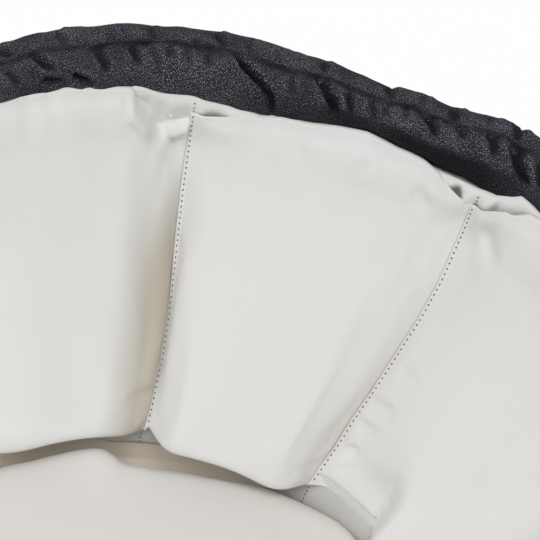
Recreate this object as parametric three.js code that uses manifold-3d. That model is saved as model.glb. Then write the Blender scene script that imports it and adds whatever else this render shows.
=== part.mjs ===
// An infant lounger: a soft oval nest. Fourteen crowned wall pads stand round a loose mattress,
// a gathered denim rim with an elastic in its tunnel closes the top, and a denim shell covers
// the outside. Two rolled carry handles swing on the sides, and a zip under the base lets the
// base foam out. Millimetres, +Z up, +Y towards the head end, origin on the floor at the middle.
import * as THREE from "three";
import { mergeVertices } from "three/addons/utils/BufferGeometryUtils.js";
import Module from "manifold-3d";

const wasm = await Module();
wasm.setup();

// Plan: two half circles joined by straight sides, wider and longer at the rim than at the floor.
const mattressRadius = 121;
const mattressFlat = 12;
const mattressGap = 5.5;
const gussetLean = 5.5;
const wallLean = 72.5;
const floorStraight = 123;
const rimExtraStraight = 12;
const wallFootThickness = 36;
const wallTopThickness = 28;
const endPanels = 5;
const sidePanels = 2;

// Cloth and the room left between neighbouring pieces.
const sewGap = 0.4;
const fillGap = 1.4;
const liningCloth = 1.2;
const shellCloth = 1.6;
const floorCloth = 0.8;
const cutOverrun = 4;

// Zip: the slider's running gap, its plates, and the coils that it runs on.
const zipStandOff = 0.7;
const zipRunning = 0.35;
const sliderPlate = 0.9;
const sliderFlange = 0.9;
const sliderPost = 1.2;
const coilWidth = 1.85;
const coilDepth = 1.6;

// Heights of the stack, from the floor up.
const basePanelThickness = zipStandOff + sliderPlate + coilDepth;
const baseFoamThickness = 15.4;
const gussetHeight = 25.4;
const mattressThickness = 20;
const padHeight = 104;
const padArch = 10.4;
const bindingHeight = 11.6;

// How far the pads crown into the nest, and how their seam line falls from rim to floor. The middle
// pads of the two ends also have a belly, low down, which meets the mattress's flat end.
const crownDepth = 24;
const endBelly = 12;
const seamFallShare = 1.42;
const crownAcrossShare = 2.5;
const crownEdgeShare = 0.8;
const crownFootShare = 0.36;
const crownHeadShare = 0.45;
const bellyHeadShare = 3;

// The rim: a wadded roll, and a tunnel outside it that holds the elastic.
const rollWidth = 21;
const rollHeight = 17.5;
const rollSetback = 1.5;
const tunnelDiameter = 11.2;
const tunnelRise = 3.6;
const tunnelCloth = 1;
const elasticDiameter = 7.2;
const gatherShare = 0.1;
const rimSway = 1.6;

// Grids: stations along one panel, rows up one pad, and sides of the round sections.
const padStations = 6;
const padRowShares = [0, 0.05, 0.2, 0.45, 0.73, 0.93, 1];
const rimStations = 5;
const floorStations = 3;
const rollSides = 8;
const tunnelSides = 8;
const elasticSides = 6;

const creamCloth = { color: 0xdedcd6, roughness: 0.75, metalness: 0 };
const greyCream = { color: 0xc9c6be, roughness: 0.8, metalness: 0 };
const denim = { color: 0x2b2c33, roughness: 0.9, metalness: 0 };
const wadding = { color: 0xf2f1ec, roughness: 0.95, metalness: 0 };
const foam = { color: 0xe6e0c8, roughness: 0.95, metalness: 0 };
const rubberThread = { color: 0x2f2f31, roughness: 0.7, metalness: 0 };
const zipCloth = { color: 0x1e1f22, roughness: 0.85, metalness: 0 };
const nickel = { color: 0x8d9094, roughness: 0.35, metalness: 0.9 };

// Levels and radii that follow from the sizes above.
const foamBottom = basePanelThickness + sewGap;
const foamTop = foamBottom + baseFoamThickness;
const floorBottom = foamTop + sewGap;
const floorTop = floorBottom + floorCloth;
const mattressBottom = floorTop + sewGap;
const gussetTop = floorTop + gussetHeight;
const padBottom = gussetTop + sewGap;
const padTop = padBottom + padHeight;
const bindingTop = padTop + bindingHeight;
const wallBottom = foamBottom;
const gussetFootRadius = mattressRadius + mattressGap;
const seamFootRadius = gussetFootRadius + gussetLean;
const seamHeadRadius = seamFootRadius + wallLean;
const wallFootRadius = seamFootRadius + wallFootThickness;
const wallHeadRadius = seamHeadRadius + wallTopThickness;
const rimStraight = floorStraight + rimExtraStraight;
const halfRound = endPanels / 2;
const panelCount = 2 * (endPanels + sidePanels);
const halfWay = panelCount / 2;
const seamAngle = Math.PI / endPanels;

// The outer shell's outline: share of its height, then share of its lean.
const shellHeightShares = [0, 0.16, 0.55, 1];
const shellReachShares = [0, 0.26, 0.62, 1];

// Height to the seam line's radius, to the half length of the straight sides, and to the shell's radius.
function seamFall(z) {
  const down = THREE.MathUtils.clamp((padTop - z) / padHeight, 0, 1);
  return down ** seamFallShare;
}

function seamRadius(z) {
  return seamHeadRadius - wallLean * seamFall(z);
}

function straightAt(z) {
  return rimStraight - rimExtraStraight * seamFall(z);
}

function shellUp(z) {
  return THREE.MathUtils.clamp((z - wallBottom) / (bindingTop - wallBottom), 0, 1);
}

function shellRadius(z) {
  const up = shellUp(z);
  const i = Math.min(
    shellHeightShares.findLastIndex((share) => share <= up),
    shellHeightShares.length - 2,
  );
  const along = (up - shellHeightShares[i]) / (shellHeightShares[i + 1] - shellHeightShares[i]);
  const reach = THREE.MathUtils.lerp(shellReachShares[i], shellReachShares[i + 1], along);
  return THREE.MathUtils.lerp(wallFootRadius, wallHeadRadius, reach);
}

// A point on the shell, some way in from its face: radius, height and half length of its sides.
function shellPoint(z, inward) {
  const straight = THREE.MathUtils.lerp(floorStraight, rimStraight, shellUp(z));
  return [shellRadius(z) - inward, z, straight];
}

// Place along the oval counts in panels, clockwise from the middle of the head end.
function ovalPoint(place, radius, straight) {
  const p = THREE.MathUtils.euclideanModulo(place + halfRound, panelCount) - halfRound;
  const sideEnd = halfRound + sidePanels;
  const footEnd = sideEnd + endPanels;
  if (p <= halfRound) {
    const angle = p * seamAngle;
    return [radius * Math.sin(angle), straight + radius * Math.cos(angle)];
  }
  if (p <= sideEnd) return [radius, straight * (1 - (2 * (p - halfRound)) / sidePanels)];
  if (p <= footEnd) {
    const angle = (p - sideEnd - halfRound) * seamAngle;
    return [-radius * Math.sin(angle), -straight - radius * Math.cos(angle)];
  }
  return [-radius, straight * ((2 * (p - footEnd)) / sidePanels - 1)];
}

// A closed mesh from its points and faces, turned so that the faces point out.
function closedMesh(points, faces) {
  const a = new THREE.Vector3();
  const b = new THREE.Vector3();
  const c = new THREE.Vector3();
  let volume = 0;
  for (const [i, j, k] of faces) {
    a.fromArray(points[i]);
    b.fromArray(points[j]);
    c.fromArray(points[k]);
    volume += a.dot(b.cross(c));
  }
  const turned = volume < 0 ? faces.map(([i, j, k]) => [i, k, j]) : faces;
  const geometry = new THREE.BufferGeometry();
  geometry.setAttribute("position", new THREE.Float32BufferAttribute(points.flat(), 3));
  geometry.setIndex(turned.flat());
  return geometry;
}

// Sections with the same number of points are skinned in order. An open run is capped by a ladder
// across each end section, from its first point and last point inwards.
function skin(sections, isRing) {
  const count = sections[0].length;
  const faces = [];
  const last = isRing ? sections.length : sections.length - 1;
  for (let s = 0; s < last; s += 1) {
    const near = s * count;
    const far = ((s + 1) % sections.length) * count;
    for (let i = 0; i < count; i += 1) {
      const next = (i + 1) % count;
      faces.push([near + i, near + next, far + next], [near + i, far + next, far + i]);
    }
  }
  if (!isRing) {
    for (const [start, flip] of [[0, true], [(sections.length - 1) * count, false]]) {
      for (let i = 0; i < count / 2 - 1; i += 1) {
        const other = count - 1 - i;
        const [p, q, r, s] = [start + i, start + i + 1, start + other - 1, start + other];
        faces.push(...(flip ? [[p, r, q], [p, s, r]] : [[p, q, r], [p, r, s]]));
      }
    }
  }
  return closedMesh(sections.flat(), faces);
}

// A profile carried round the oval from one place to another. Its points are a radius and a height,
// and the half length of the straight sides where that isn't the seam line's.
function alongOval(profileAt, from, to, stations) {
  const isRing = to - from >= panelCount;
  const steps = Math.round((to - from) * stations);
  const sections = [];
  for (let s = 0; s < steps + (isRing ? 0 : 1); s += 1) {
    const place = from + ((to - from) * s) / steps;
    const profile = profileAt(place);
    sections.push(profile.map(([r, z, straight = straightAt(z)]) => [...ovalPoint(place, r, straight), z]));
  }
  return skin(sections, isRing);
}

// Ovals of [radius, height] stacked in order, the first and the last one closed by a flat fan. Their
// two ends can be flattened, by a length that is taken off the radius there.
function stackedOvals(rings, flat = 0) {
  const steps = panelCount * floorStations;
  const points = [];
  const faces = [];
  for (const [r, z] of rings) {
    for (let s = 0; s < steps; s += 1) {
      const [x, y] = ovalPoint(s / floorStations, r, floorStraight);
      const end = floorStraight + r - flat;
      points.push([x, THREE.MathUtils.clamp(y, -end, end), z]);
    }
  }
  for (let ring = 0; ring < rings.length - 1; ring += 1) {
    for (let s = 0; s < steps; s += 1) {
      const near = ring * steps;
      const next = (s + 1) % steps;
      faces.push([near + s, near + next, near + steps + next]);
      faces.push([near + s, near + steps + next, near + steps + s]);
    }
  }
  const lastRing = (rings.length - 1) * steps;
  const low = points.push([0, 0, rings[0][1]]) - 1;
  const high = points.push([0, 0, rings.at(-1)[1]]) - 1;
  for (let s = 0; s < steps; s += 1) {
    const next = (s + 1) % steps;
    faces.push([low, next, s], [high, lastRing + s, lastRing + next]);
  }
  return closedMesh(points, faces);
}

// Booleans.
function toSolid(geometry) {
  const bare = geometry.index ? geometry.toNonIndexed() : geometry.clone();
  bare.deleteAttribute("normal");
  bare.deleteAttribute("uv");
  const merged = mergeVertices(bare);
  const mesh = new wasm.Mesh({
    numProp: 3,
    vertProperties: merged.attributes.position.array,
    triVerts: new Uint32Array(merged.index.array),
  });
  return new wasm.Manifold(mesh);
}

function fromSolid(solid) {
  const { vertProperties, triVerts } = solid.getMesh();
  const geometry = new THREE.BufferGeometry();
  geometry.setAttribute("position", new THREE.BufferAttribute(vertProperties, 3));
  geometry.setIndex(new THREE.BufferAttribute(triVerts, 1));
  return geometry;
}

function cut(geometry, ...tools) {
  return fromSolid(tools.reduce((solid, tool) => solid.subtract(toSolid(tool)), toSolid(geometry)));
}

function join(geometry, ...others) {
  return fromSolid(others.reduce((solid, other) => solid.add(toSolid(other)), toSolid(geometry)));
}

// A box between two corners.
function slab([x0, y0, z0], [x1, y1, z1]) {
  const box = new THREE.BoxGeometry(x1 - x0, y1 - y0, z1 - z0);
  return box.translate((x0 + x1) / 2, (y0 + y1) / 2, (z0 + z1) / 2);
}

const lounger = new THREE.Group();
lounger.name = "infant_lounger";

function place(name, geometry, finish, parent = lounger) {
  const mesh = new THREE.Mesh(geometry, new THREE.MeshStandardMaterial(finish));
  mesh.name = name;
  parent.add(mesh);
  return mesh;
}

// Wall pads: each is a cream lining panel with side flanges, and the wadding inside it.
const panelPlaces = [
  "head_centre",
  "head_right",
  "head_corner_right",
  "side_right_head",
  "side_right_foot",
  "foot_corner_right",
  "foot_right",
  "foot_centre",
  "foot_left",
  "foot_corner_left",
  "side_left_foot",
  "side_left_head",
  "head_corner_left",
  "head_left",
];

function arch(across) {
  return 1 - Math.abs(2 * across - 1) ** crownAcrossShare;
}

// A crown's share of its full depth: nothing at foot and head, and all of it at one height between.
function rise(up, headShare) {
  const peakUp = crownFootShare / (crownFootShare + headShare);
  const power = (v) => v ** crownFootShare * (1 - v) ** headShare;
  return power(up) / power(peakUp);
}

function crown(across, up, belly) {
  const depth = crownDepth * rise(up, crownHeadShare) + belly * rise(up, bellyHeadShare);
  return arch(across) ** crownEdgeShare * depth;
}

const rimArc = seamHeadRadius * seamAngle;
const footArc = seamFootRadius * seamAngle;
const panelInset = sewGap / 2 / footArc;
const flangeInset = panelInset + liningCloth / rimArc;
const fillInset = flangeInset + sewGap / footArc;

// The front of one pad at a share of its width, as points from the foot up.
function padFront(across, belly, inward) {
  const top = padTop + padArch * arch(across);
  return padRowShares.map((up) => {
    const z = THREE.MathUtils.lerp(padBottom, top, up);
    return [seamRadius(z) - crown(across, up, belly) + inward, z];
  });
}

const behindShell = shellCloth + sewGap;

// A block behind that front, and the larger block that hollows it out from foot to head.
function padProfile(across, belly) {
  const front = padFront(across, belly, 0);
  return [...front, ...front.toReversed().map(([, z]) => shellPoint(z, behindShell))];
}

function hollowProfile(across, belly) {
  const front = padFront(across, belly, liningCloth);
  const [foot, head] = [front[0], front.at(-1)];
  const rows = [[foot[0], foot[1] - cutOverrun], ...front, [head[0], head[1] + cutOverrun]];
  return [...rows, ...rows.toReversed().map(([, z]) => shellPoint(z, -cutOverrun))];
}

function padBlock(panel, inset, profile) {
  const [from, to] = [panel - 1 / 2 + inset, panel + 1 / 2 - inset];
  const belly = panel % halfWay === 0 ? endBelly : 0;
  const profileAt = (p) => profile(THREE.MathUtils.clamp((p - from) / (to - from), 0, 1), belly);
  return alongOval(profileAt, from, to, padStations);
}

function liningPanel(panel) {
  return cut(padBlock(panel, panelInset, padProfile), padBlock(panel, flangeInset, hollowProfile));
}

// The wadding also fills the wall's foot, behind the gusset.
function fillProfile(across, belly) {
  const front = padFront(across, belly, liningCloth + fillGap);
  front.at(-1)[1] -= fillGap;
  const foot = [seamFootRadius + liningCloth + fillGap, floorBottom];
  const rows = [foot, ...front];
  return [...rows, ...rows.toReversed().map(([, z]) => shellPoint(z, behindShell))];
}

panelPlaces.forEach((name, panel) => {
  place(`lining_${name}`, liningPanel(panel), creamCloth);
  place(`fill_${name}`, padBlock(panel, fillInset, fillProfile), wadding);
});

// The binding closes the top of the wall over the pads, up to the roll.
function bindingProfile(p) {
  const across = p + 1 / 2 - Math.floor(p + 1 / 2);
  const low = padTop + padArch * arch(across) + sewGap;
  return [
    [seamHeadRadius, low],
    [seamHeadRadius, bindingTop],
    shellPoint(bindingTop, behindShell),
    shellPoint(low, behindShell),
  ];
}

place("top_binding", alongOval(bindingProfile, -1 / 2, panelCount - 1 / 2, padStations), greyCream);

// Outer shell: four denim panels, sewn together at the ends of the straight sides.
function shellProfile() {
  const levels = shellHeightShares.map((share) => THREE.MathUtils.lerp(wallBottom, bindingTop, share));
  const outside = levels.map((z) => shellPoint(z, 0));
  const inside = levels.toReversed().map((z) => shellPoint(z, shellCloth));
  return [...outside, ...inside];
}

const shellPanels = [["head", endPanels], ["right", sidePanels], ["foot", endPanels], ["left", sidePanels]];
let shellSeam = -halfRound;
for (const [name, panels] of shellPanels) {
  const next = shellSeam + panels;
  const shellPanel = alongOval(shellProfile, shellSeam + panelInset, next - panelInset, padStations);
  place(`outer_shell_${name}`, shellPanel, denim);
  shellSeam = next;
}

// Rim: every other station is drawn in by the elastic, and the whole rim sways a little.
const rollCentreRadius = seamHeadRadius + rollSetback + rollWidth / 2;
const rollFlatShare = Math.cos(Math.PI / rollSides);
const tunnelFlatShare = Math.cos(Math.PI / tunnelSides);
const rollCentreHeight = bindingTop + sewGap + (rollHeight / 2) * rollFlatShare;
const tunnelSeat = (rollWidth / 2) * rollFlatShare + sewGap + (tunnelDiameter / 2) * tunnelFlatShare;
const tunnelCentreRadius = rollCentreRadius + tunnelSeat;
const tunnelCentreHeight = rollCentreHeight + tunnelRise;
const swayWavesShares = [5, 11];

function sway(p) {
  const [slow, quick] = swayWavesShares.map((waves) => Math.sin((2 * Math.PI * waves * p) / panelCount));
  return (rimSway * (slow + quick)) / 2;
}

function gather(p) {
  const station = Math.round((p + 1 / 2) * rimStations);
  return 1 - gatherShare * Math.abs(station % 2);
}

// A round section of the rim, with its centre and size, as a profile at each place.
function rimTube([centreRadius, centreHeight], [width, height], sides) {
  return (p) =>
    Array.from({ length: sides }, (_, i) => {
      const angle = (2 * Math.PI * (i + 1 / 2)) / sides;
      const r = centreRadius + sway(p) + (gather(p) * width * Math.cos(angle)) / 2;
      return [r, centreHeight + (gather(p) * height * Math.sin(angle)) / 2];
    });
}

const rollTube = rimTube([rollCentreRadius, rollCentreHeight], [rollWidth, rollHeight], rollSides);
place("rim_roll", alongOval(rollTube, -1 / 2, panelCount - 1 / 2, rimStations), denim);

// The tunnel is sewn in two halves, open at their ends, round one unbroken elastic.
const tunnelCentre = [tunnelCentreRadius, tunnelCentreHeight];
const tunnelBore = tunnelDiameter - 2 * tunnelCloth;
const tunnelTube = rimTube(tunnelCentre, [tunnelDiameter, tunnelDiameter], tunnelSides);
const boreTube = rimTube(tunnelCentre, [tunnelBore, tunnelBore], elasticSides);
const elasticTube = rimTube(tunnelCentre, [elasticDiameter, elasticDiameter], elasticSides);

function tunnelHalf(from) {
  const [start, end] = [from + panelInset, from + halfWay - panelInset];
  const overrun = cutOverrun / rimArc;
  const mouths = [start, end].map((p) => alongOval(boreTube, p - overrun, p + overrun, 1 / overrun));
  const bore = alongOval(boreTube, start, end, rimStations);
  return cut(alongOval(tunnelTube, start, end, rimStations), bore, ...mouths);
}

const tunnelSeam = -halfWay / 2;
place("rim_tunnel_head", tunnelHalf(tunnelSeam), denim);
place("rim_tunnel_foot", tunnelHalf(tunnelSeam + halfWay), denim);
const elastic = alongOval(elasticTube, tunnelSeam, tunnelSeam + panelCount, rimStations);
place("rim_elastic", elastic, rubberThread);

// Base: denim panel with the zip's slot, foam over it, and the cream floor with its gusset.
const basePanelSetback = 2;
const slotLength = 400;
const slotClearance = 2;
const tapeThickness = 0.8;
const tapeHem = 7;
const grooveClearance = 1;
const coilParting = sliderPost / 2 + zipRunning;
const coilReach = coilParting + coilWidth;
const sliderWidth = 2 * (coilReach + zipRunning + sliderFlange);
const slotWidth = sliderWidth + 2 * slotClearance;
const tapeReach = slotWidth / 2 + tapeHem;
const tapeLength = slotLength + 2 * tapeHem;
const grooveReach = tapeReach + grooveClearance;
const grooveLength = tapeLength + 2 * grooveClearance;
const grooveDepth = tapeThickness + sewGap + sliderPlate + grooveClearance;
const basePanelRadius = wallFootRadius - basePanelSetback;
const baseFoamRadius = wallFootRadius - shellCloth - sewGap;

const slotTool = slab(
  [-slotWidth / 2, -slotLength / 2, -cutOverrun],
  [slotWidth / 2, slotLength / 2, basePanelThickness + cutOverrun],
);
const basePanelOval = stackedOvals([[basePanelRadius, 0], [basePanelRadius, basePanelThickness]]);
place("base_panel", cut(basePanelOval, slotTool), denim);

const grooveTool = slab(
  [-grooveReach, -grooveLength / 2, foamBottom - cutOverrun],
  [grooveReach, grooveLength / 2, foamBottom + grooveDepth],
);
const baseFoamOval = stackedOvals([[baseFoamRadius, foamBottom], [baseFoamRadius, foamTop]]);
place("base_foam", cut(baseFoamOval, grooveTool), foam);

const floorRings = [
  [gussetFootRadius + floorCloth, floorBottom],
  [seamFootRadius, gussetTop],
  [seamFootRadius - floorCloth, gussetTop],
  [gussetFootRadius, floorTop],
];
place("floor_lining", stackedOvals(floorRings), greyCream);

// Mattress: foam in a cream cover, whose top and bottom are sewn together round the lower edge.
// Its outline: share of its radius, then share of its height.
const mattressRadiusShares = [0.99, 1, 0.985, 0.93, 0.72, 0.42];
const mattressHeightShares = [0, 0.45, 0.8, 1, 1.18, 1.27];
const mattressCloth = 1;
const mattressRim = mattressBottom + mattressCloth + sewGap;

function mattressRings(inset) {
  const height = mattressThickness - mattressCloth - sewGap;
  return mattressRadiusShares.map((share, i) => {
    const lift = i === 0 ? 0 : -inset;
    return [mattressRadius * share - inset, mattressRim + height * mattressHeightShares[i] + lift];
  });
}

const coverRings = [...mattressRings(mattressCloth).reverse(), ...mattressRings(0)];
place("mattress_cover_top", stackedOvals(coverRings, mattressFlat), creamCloth);
place("mattress_foam", stackedOvals(mattressRings(mattressCloth + sewGap), mattressFlat), foam);
const mattressBaseRadius = mattressRadius * mattressRadiusShares[0];
const mattressBaseRings = [mattressBottom, mattressBottom + mattressCloth].map((z) => [mattressBaseRadius, z]);
place("mattress_cover_base", stackedOvals(mattressBaseRings, mattressFlat), creamCloth);

// Zip: two tapes with their coil ridges, a slider that runs between them, and its pull.
const sliderLength = 11;
const sliderPostLength = 2.4;
const lugLength = 2.5;
const pinDiameter = 1;
const pinClearance = 0.25;
const pullLength = 20;
const pullClearance = 0.5;
const pullThickness = 1;
const pullHole = 2;
const sliderParking = 12.5;
const pinSides = 12;

const tapeBottom = basePanelThickness + sewGap;
const coilBottom = tapeBottom - coilDepth;
const tapeTop = tapeBottom + tapeThickness;
const coilLength = slotLength - 2 * sewGap;

// A length of tape or coil: its width runs from one reach to another on one side of the slot.
function zipStrip(side, [inner, outer], [low, high], length) {
  const [x0, x1] = [side * inner, side * outer].toSorted((a, b) => a - b);
  return slab([x0, -length / 2, low], [x1, length / 2, high]);
}

for (const [name, side] of [["left", -1], ["right", 1]]) {
  const tape = zipStrip(side, [coilParting, tapeReach], [tapeBottom, tapeTop], tapeLength);
  const coil = zipStrip(side, [coilParting, coilReach], [coilBottom, tapeTop], coilLength);
  place(`zip_tape_${name}`, join(tape, coil), zipCloth);
}

// The slider's own frame has its middle at y = 0.
const lowerPlateTop = coilBottom - sewGap;
const lowerPlateBottom = lowerPlateTop - sliderPlate;
const flangeTop = tapeBottom - sewGap;
const upperPlateBottom = tapeTop + sewGap;
const flangeInside = sliderWidth / 2 - sliderFlange;
const pullWidth = 2 * (flangeInside - pullClearance);
const pinY = -sliderLength / 2 - lugLength / 2;
const pinZ = (lowerPlateBottom + lowerPlateTop) / 2;

function crossPin(diameter, length) {
  const pin = new THREE.CylinderGeometry(diameter / 2, diameter / 2, length, pinSides);
  return pin.rotateZ(Math.PI / 2).translate(0, pinY, pinZ);
}

function sliderBody() {
  const lower = slab(
    [-sliderWidth / 2, -sliderLength / 2, lowerPlateBottom],
    [sliderWidth / 2, sliderLength / 2, lowerPlateTop],
  );
  const upper = slab(
    [-sliderWidth / 2, -sliderLength / 2, upperPlateBottom],
    [sliderWidth / 2, sliderLength / 2, upperPlateBottom + sliderPlate],
  );
  const post = slab(
    [-sliderPost / 2, sliderLength / 2 - sliderPostLength, lowerPlateBottom],
    [sliderPost / 2, sliderLength / 2, upperPlateBottom + sliderPlate],
  );
  const cheekLength = sliderLength + lugLength;
  const cheeks = [-1, 1].map((side) =>
    zipStrip(side, [flangeInside, sliderWidth / 2], [lowerPlateBottom, flangeTop], cheekLength)
      .translate(0, -lugLength / 2, 0),
  );
  const pinHole = crossPin(pinDiameter + 2 * pinClearance, sliderWidth + cutOverrun);
  return cut(join(lower, upper, post, ...cheeks), pinHole);
}

function pullTab() {
  const start = pinY + pinDiameter / 2;
  const tab = slab(
    [-pullWidth / 2, start - pullLength, pinZ - pullThickness / 2],
    [pullWidth / 2, start, pinZ + pullThickness / 2],
  );
  const hole = new THREE.CylinderGeometry(pullHole / 2, pullHole / 2, pullThickness + cutOverrun, pinSides);
  hole.rotateX(Math.PI / 2).translate(0, start - pullLength + pullHole, pinZ);
  return cut(join(tab, crossPin(pinDiameter, sliderWidth - sewGap)), hole);
}

const sliderHome = new THREE.Group();
sliderHome.position.y = slotLength / 2 - sliderParking - sliderLength / 2;
lounger.add(sliderHome);
place("zip_slider", sliderBody(), nickel, sliderHome);
place("zip_pull", pullTab(), nickel, sliderHome);

// Carry handles: rolled denim loops that hang from sewn patches below the rim, one on each side.
const handleSpan = 150;
const handleDrop = 85;
const handleBend = 34;
const handleDiameter = 14;
const handleEndWidth = 20;
const handleEndThickness = 2.4;
const handleFlatLength = 10;
const handleTaperLength = 22;
const handleStub = 1.2;
const handleFold = 3;
const handleClearance = 0.3;
const handleBendSteps = 6;
const handleSides = 8;
const patchWidth = 40;
const patchHeight = 26;
const patchThickness = 2;
const patchBelowTop = 4;

// A handle turns about the fold of its flat ends, just below the patch and just clear of the shell.
const patchTop = bindingTop - patchBelowTop;
const patchBottom = patchTop - patchHeight;
const pivotHeight = patchBottom - handleFold;
const shellSlope = (shellRadius(patchBottom) - shellRadius(pivotHeight)) / handleFold;
const handleTurn = Math.hypot(handleEndThickness / 2, handleStub) + handleClearance;
const pivotReach = shellRadius(pivotHeight) + handleTurn * Math.hypot(1, shellSlope);

// Half of the loop's centre line in the (y, z) plane, from its end down to the middle of the grip.
function halfHandleLine() {
  const y = handleSpan / 2;
  const bend = [y - handleBend, pivotHeight - handleDrop + handleBend];
  const flatEnd = pivotHeight - handleFlatLength;
  const line = [[y, pivotHeight + handleStub], [y, flatEnd], [y, flatEnd - handleTaperLength]];
  for (let i = 0; i <= handleBendSteps; i += 1) {
    const angle = (i / handleBendSteps) * (Math.PI / 2);
    line.push([bend[0] + handleBend * Math.cos(angle), bend[1] - handleBend * Math.sin(angle)]);
  }
  return line;
}

function handleLoop(side) {
  const half = halfHandleLine();
  const line = [...half, ...half.toReversed().map(([y, z]) => [-y, z])];
  const sections = line.map(([y, z], i) => {
    const [y0, z0] = line[Math.max(i - 1, 0)];
    const [y1, z1] = line[Math.min(i + 1, line.length - 1)];
    const length = Math.hypot(y1 - y0, z1 - z0);
    const [normalY, normalZ] = [(z1 - z0) / length, -(y1 - y0) / length];
    const isFlat = Math.min(i, line.length - 1 - i) < 2;
    const [thick, wide] = isFlat ? [handleEndThickness, handleEndWidth] : [handleDiameter, handleDiameter];
    return Array.from({ length: handleSides }, (_, k) => {
      const angle = (2 * Math.PI * (k + 1 / 2)) / handleSides;
      const across = (wide * Math.sin(angle)) / 2;
      const out = (thick * Math.cos(angle)) / 2;
      return [side * (pivotReach + out), y + across * normalY, z + across * normalZ];
    });
  });
  return skin(sections, false);
}

// A patch lies on the shell above its handle end: its outline is in (x, z), drawn out along y.
function handlePatch(side, y) {
  const [innerLow, innerHigh] = [shellRadius(patchBottom) + sewGap, shellRadius(patchTop) + sewGap];
  const outline = new THREE.Shape([
    new THREE.Vector2(side * innerLow, patchBottom),
    new THREE.Vector2(side * (innerLow + patchThickness), patchBottom),
    new THREE.Vector2(side * (innerHigh + patchThickness), patchTop),
    new THREE.Vector2(side * innerHigh, patchTop),
  ]);
  const patch = new THREE.ExtrudeGeometry(outline, { depth: patchWidth, bevelEnabled: false });
  return patch.rotateX(Math.PI / 2).translate(0, y + patchWidth / 2, 0);
}

for (const [name, side] of [["left", -1], ["right", 1]]) {
  place(`handle_${name}`, handleLoop(side), denim);
  place(`handle_patch_${name}_head`, handlePatch(side, handleSpan / 2), denim);
  place(`handle_patch_${name}_foot`, handlePatch(side, -handleSpan / 2), denim);
}

export default lounger;
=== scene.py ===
"""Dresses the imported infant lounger: padded cream lining, gathered denim rim, loose mattress,
denim shell, rolled handles and zip. Metres, in the part's own frame: +Z up, +Y to the head end."""

import math

import bmesh
import bpy
import numpy as np
from mathutils import Matrix, Vector


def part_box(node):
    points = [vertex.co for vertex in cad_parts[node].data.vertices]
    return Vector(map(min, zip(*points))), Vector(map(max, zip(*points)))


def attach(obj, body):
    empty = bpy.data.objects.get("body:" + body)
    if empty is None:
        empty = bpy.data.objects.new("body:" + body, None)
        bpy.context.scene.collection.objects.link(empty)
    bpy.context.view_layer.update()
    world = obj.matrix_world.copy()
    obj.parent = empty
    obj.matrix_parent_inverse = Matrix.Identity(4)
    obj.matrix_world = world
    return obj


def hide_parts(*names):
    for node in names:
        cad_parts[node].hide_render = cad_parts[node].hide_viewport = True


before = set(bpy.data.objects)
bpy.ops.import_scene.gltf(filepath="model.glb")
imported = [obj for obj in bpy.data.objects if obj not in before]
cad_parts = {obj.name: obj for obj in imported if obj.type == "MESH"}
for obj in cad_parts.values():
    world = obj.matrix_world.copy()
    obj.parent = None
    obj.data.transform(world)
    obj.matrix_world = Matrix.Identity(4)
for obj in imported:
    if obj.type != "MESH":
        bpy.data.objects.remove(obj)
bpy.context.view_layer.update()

# Camera: a close view from above the nest towards the head end.
CAMERA_PLACE = (0.0418, -0.0478, 0.4900)
CAMERA_YAW = math.radians(-8.62)
CAMERA_DIP = math.radians(47.12)
CAMERA_ROLL = math.radians(12.90)
CAMERA_LENS = 78.35
CAMERA_FILM = 36.0


def new_object(name, data):
    """An object that is in the scene."""
    thing = bpy.data.objects.new(name, data)
    bpy.context.scene.collection.objects.link(thing)
    return thing


def make_camera():
    forward = Vector((
        math.sin(CAMERA_YAW) * math.cos(CAMERA_DIP),
        math.cos(CAMERA_YAW) * math.cos(CAMERA_DIP),
        -math.sin(CAMERA_DIP),
    ))
    level = Vector((math.cos(CAMERA_YAW), -math.sin(CAMERA_YAW), 0))
    upright = level.cross(forward)
    right = level * math.cos(CAMERA_ROLL) + upright * math.sin(CAMERA_ROLL)
    up = upright * math.cos(CAMERA_ROLL) - level * math.sin(CAMERA_ROLL)
    camera = new_object("camera", bpy.data.cameras.new("camera"))
    camera.data.lens = CAMERA_LENS
    camera.data.sensor_width = CAMERA_FILM
    camera.matrix_world = Matrix.Translation(CAMERA_PLACE) @ Matrix((right, up, -forward)).transposed().to_4x4()
    bpy.context.scene.camera = camera


make_camera()

# Sizes of the lounger, read from the frame where a node's box gives them.
MM = 0.001
END_PANELS = 5
SIDE_PANELS = 2
PANELS = 2 * (END_PANELS + SIDE_PANELS)
HALF_ROUND = END_PANELS / 2
SEAM_ANGLE = math.pi / END_PANELS
CLEARANCE = 0.4 * MM
CROWN_DEPTH = 24 * MM
WALL_LEAN = 72.5 * MM
RIM_EXTRA = 12 * MM
GUSSET_LEAN = 5.5 * MM
SEAM_FALL_POWER = 1.42
CLOTH = 1.2 * MM
SHELL_CLOTH = 1.6 * MM
FLOOR_CLOTH = 0.8 * MM

SIDES = (("left", -1), ("right", 1))

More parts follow.
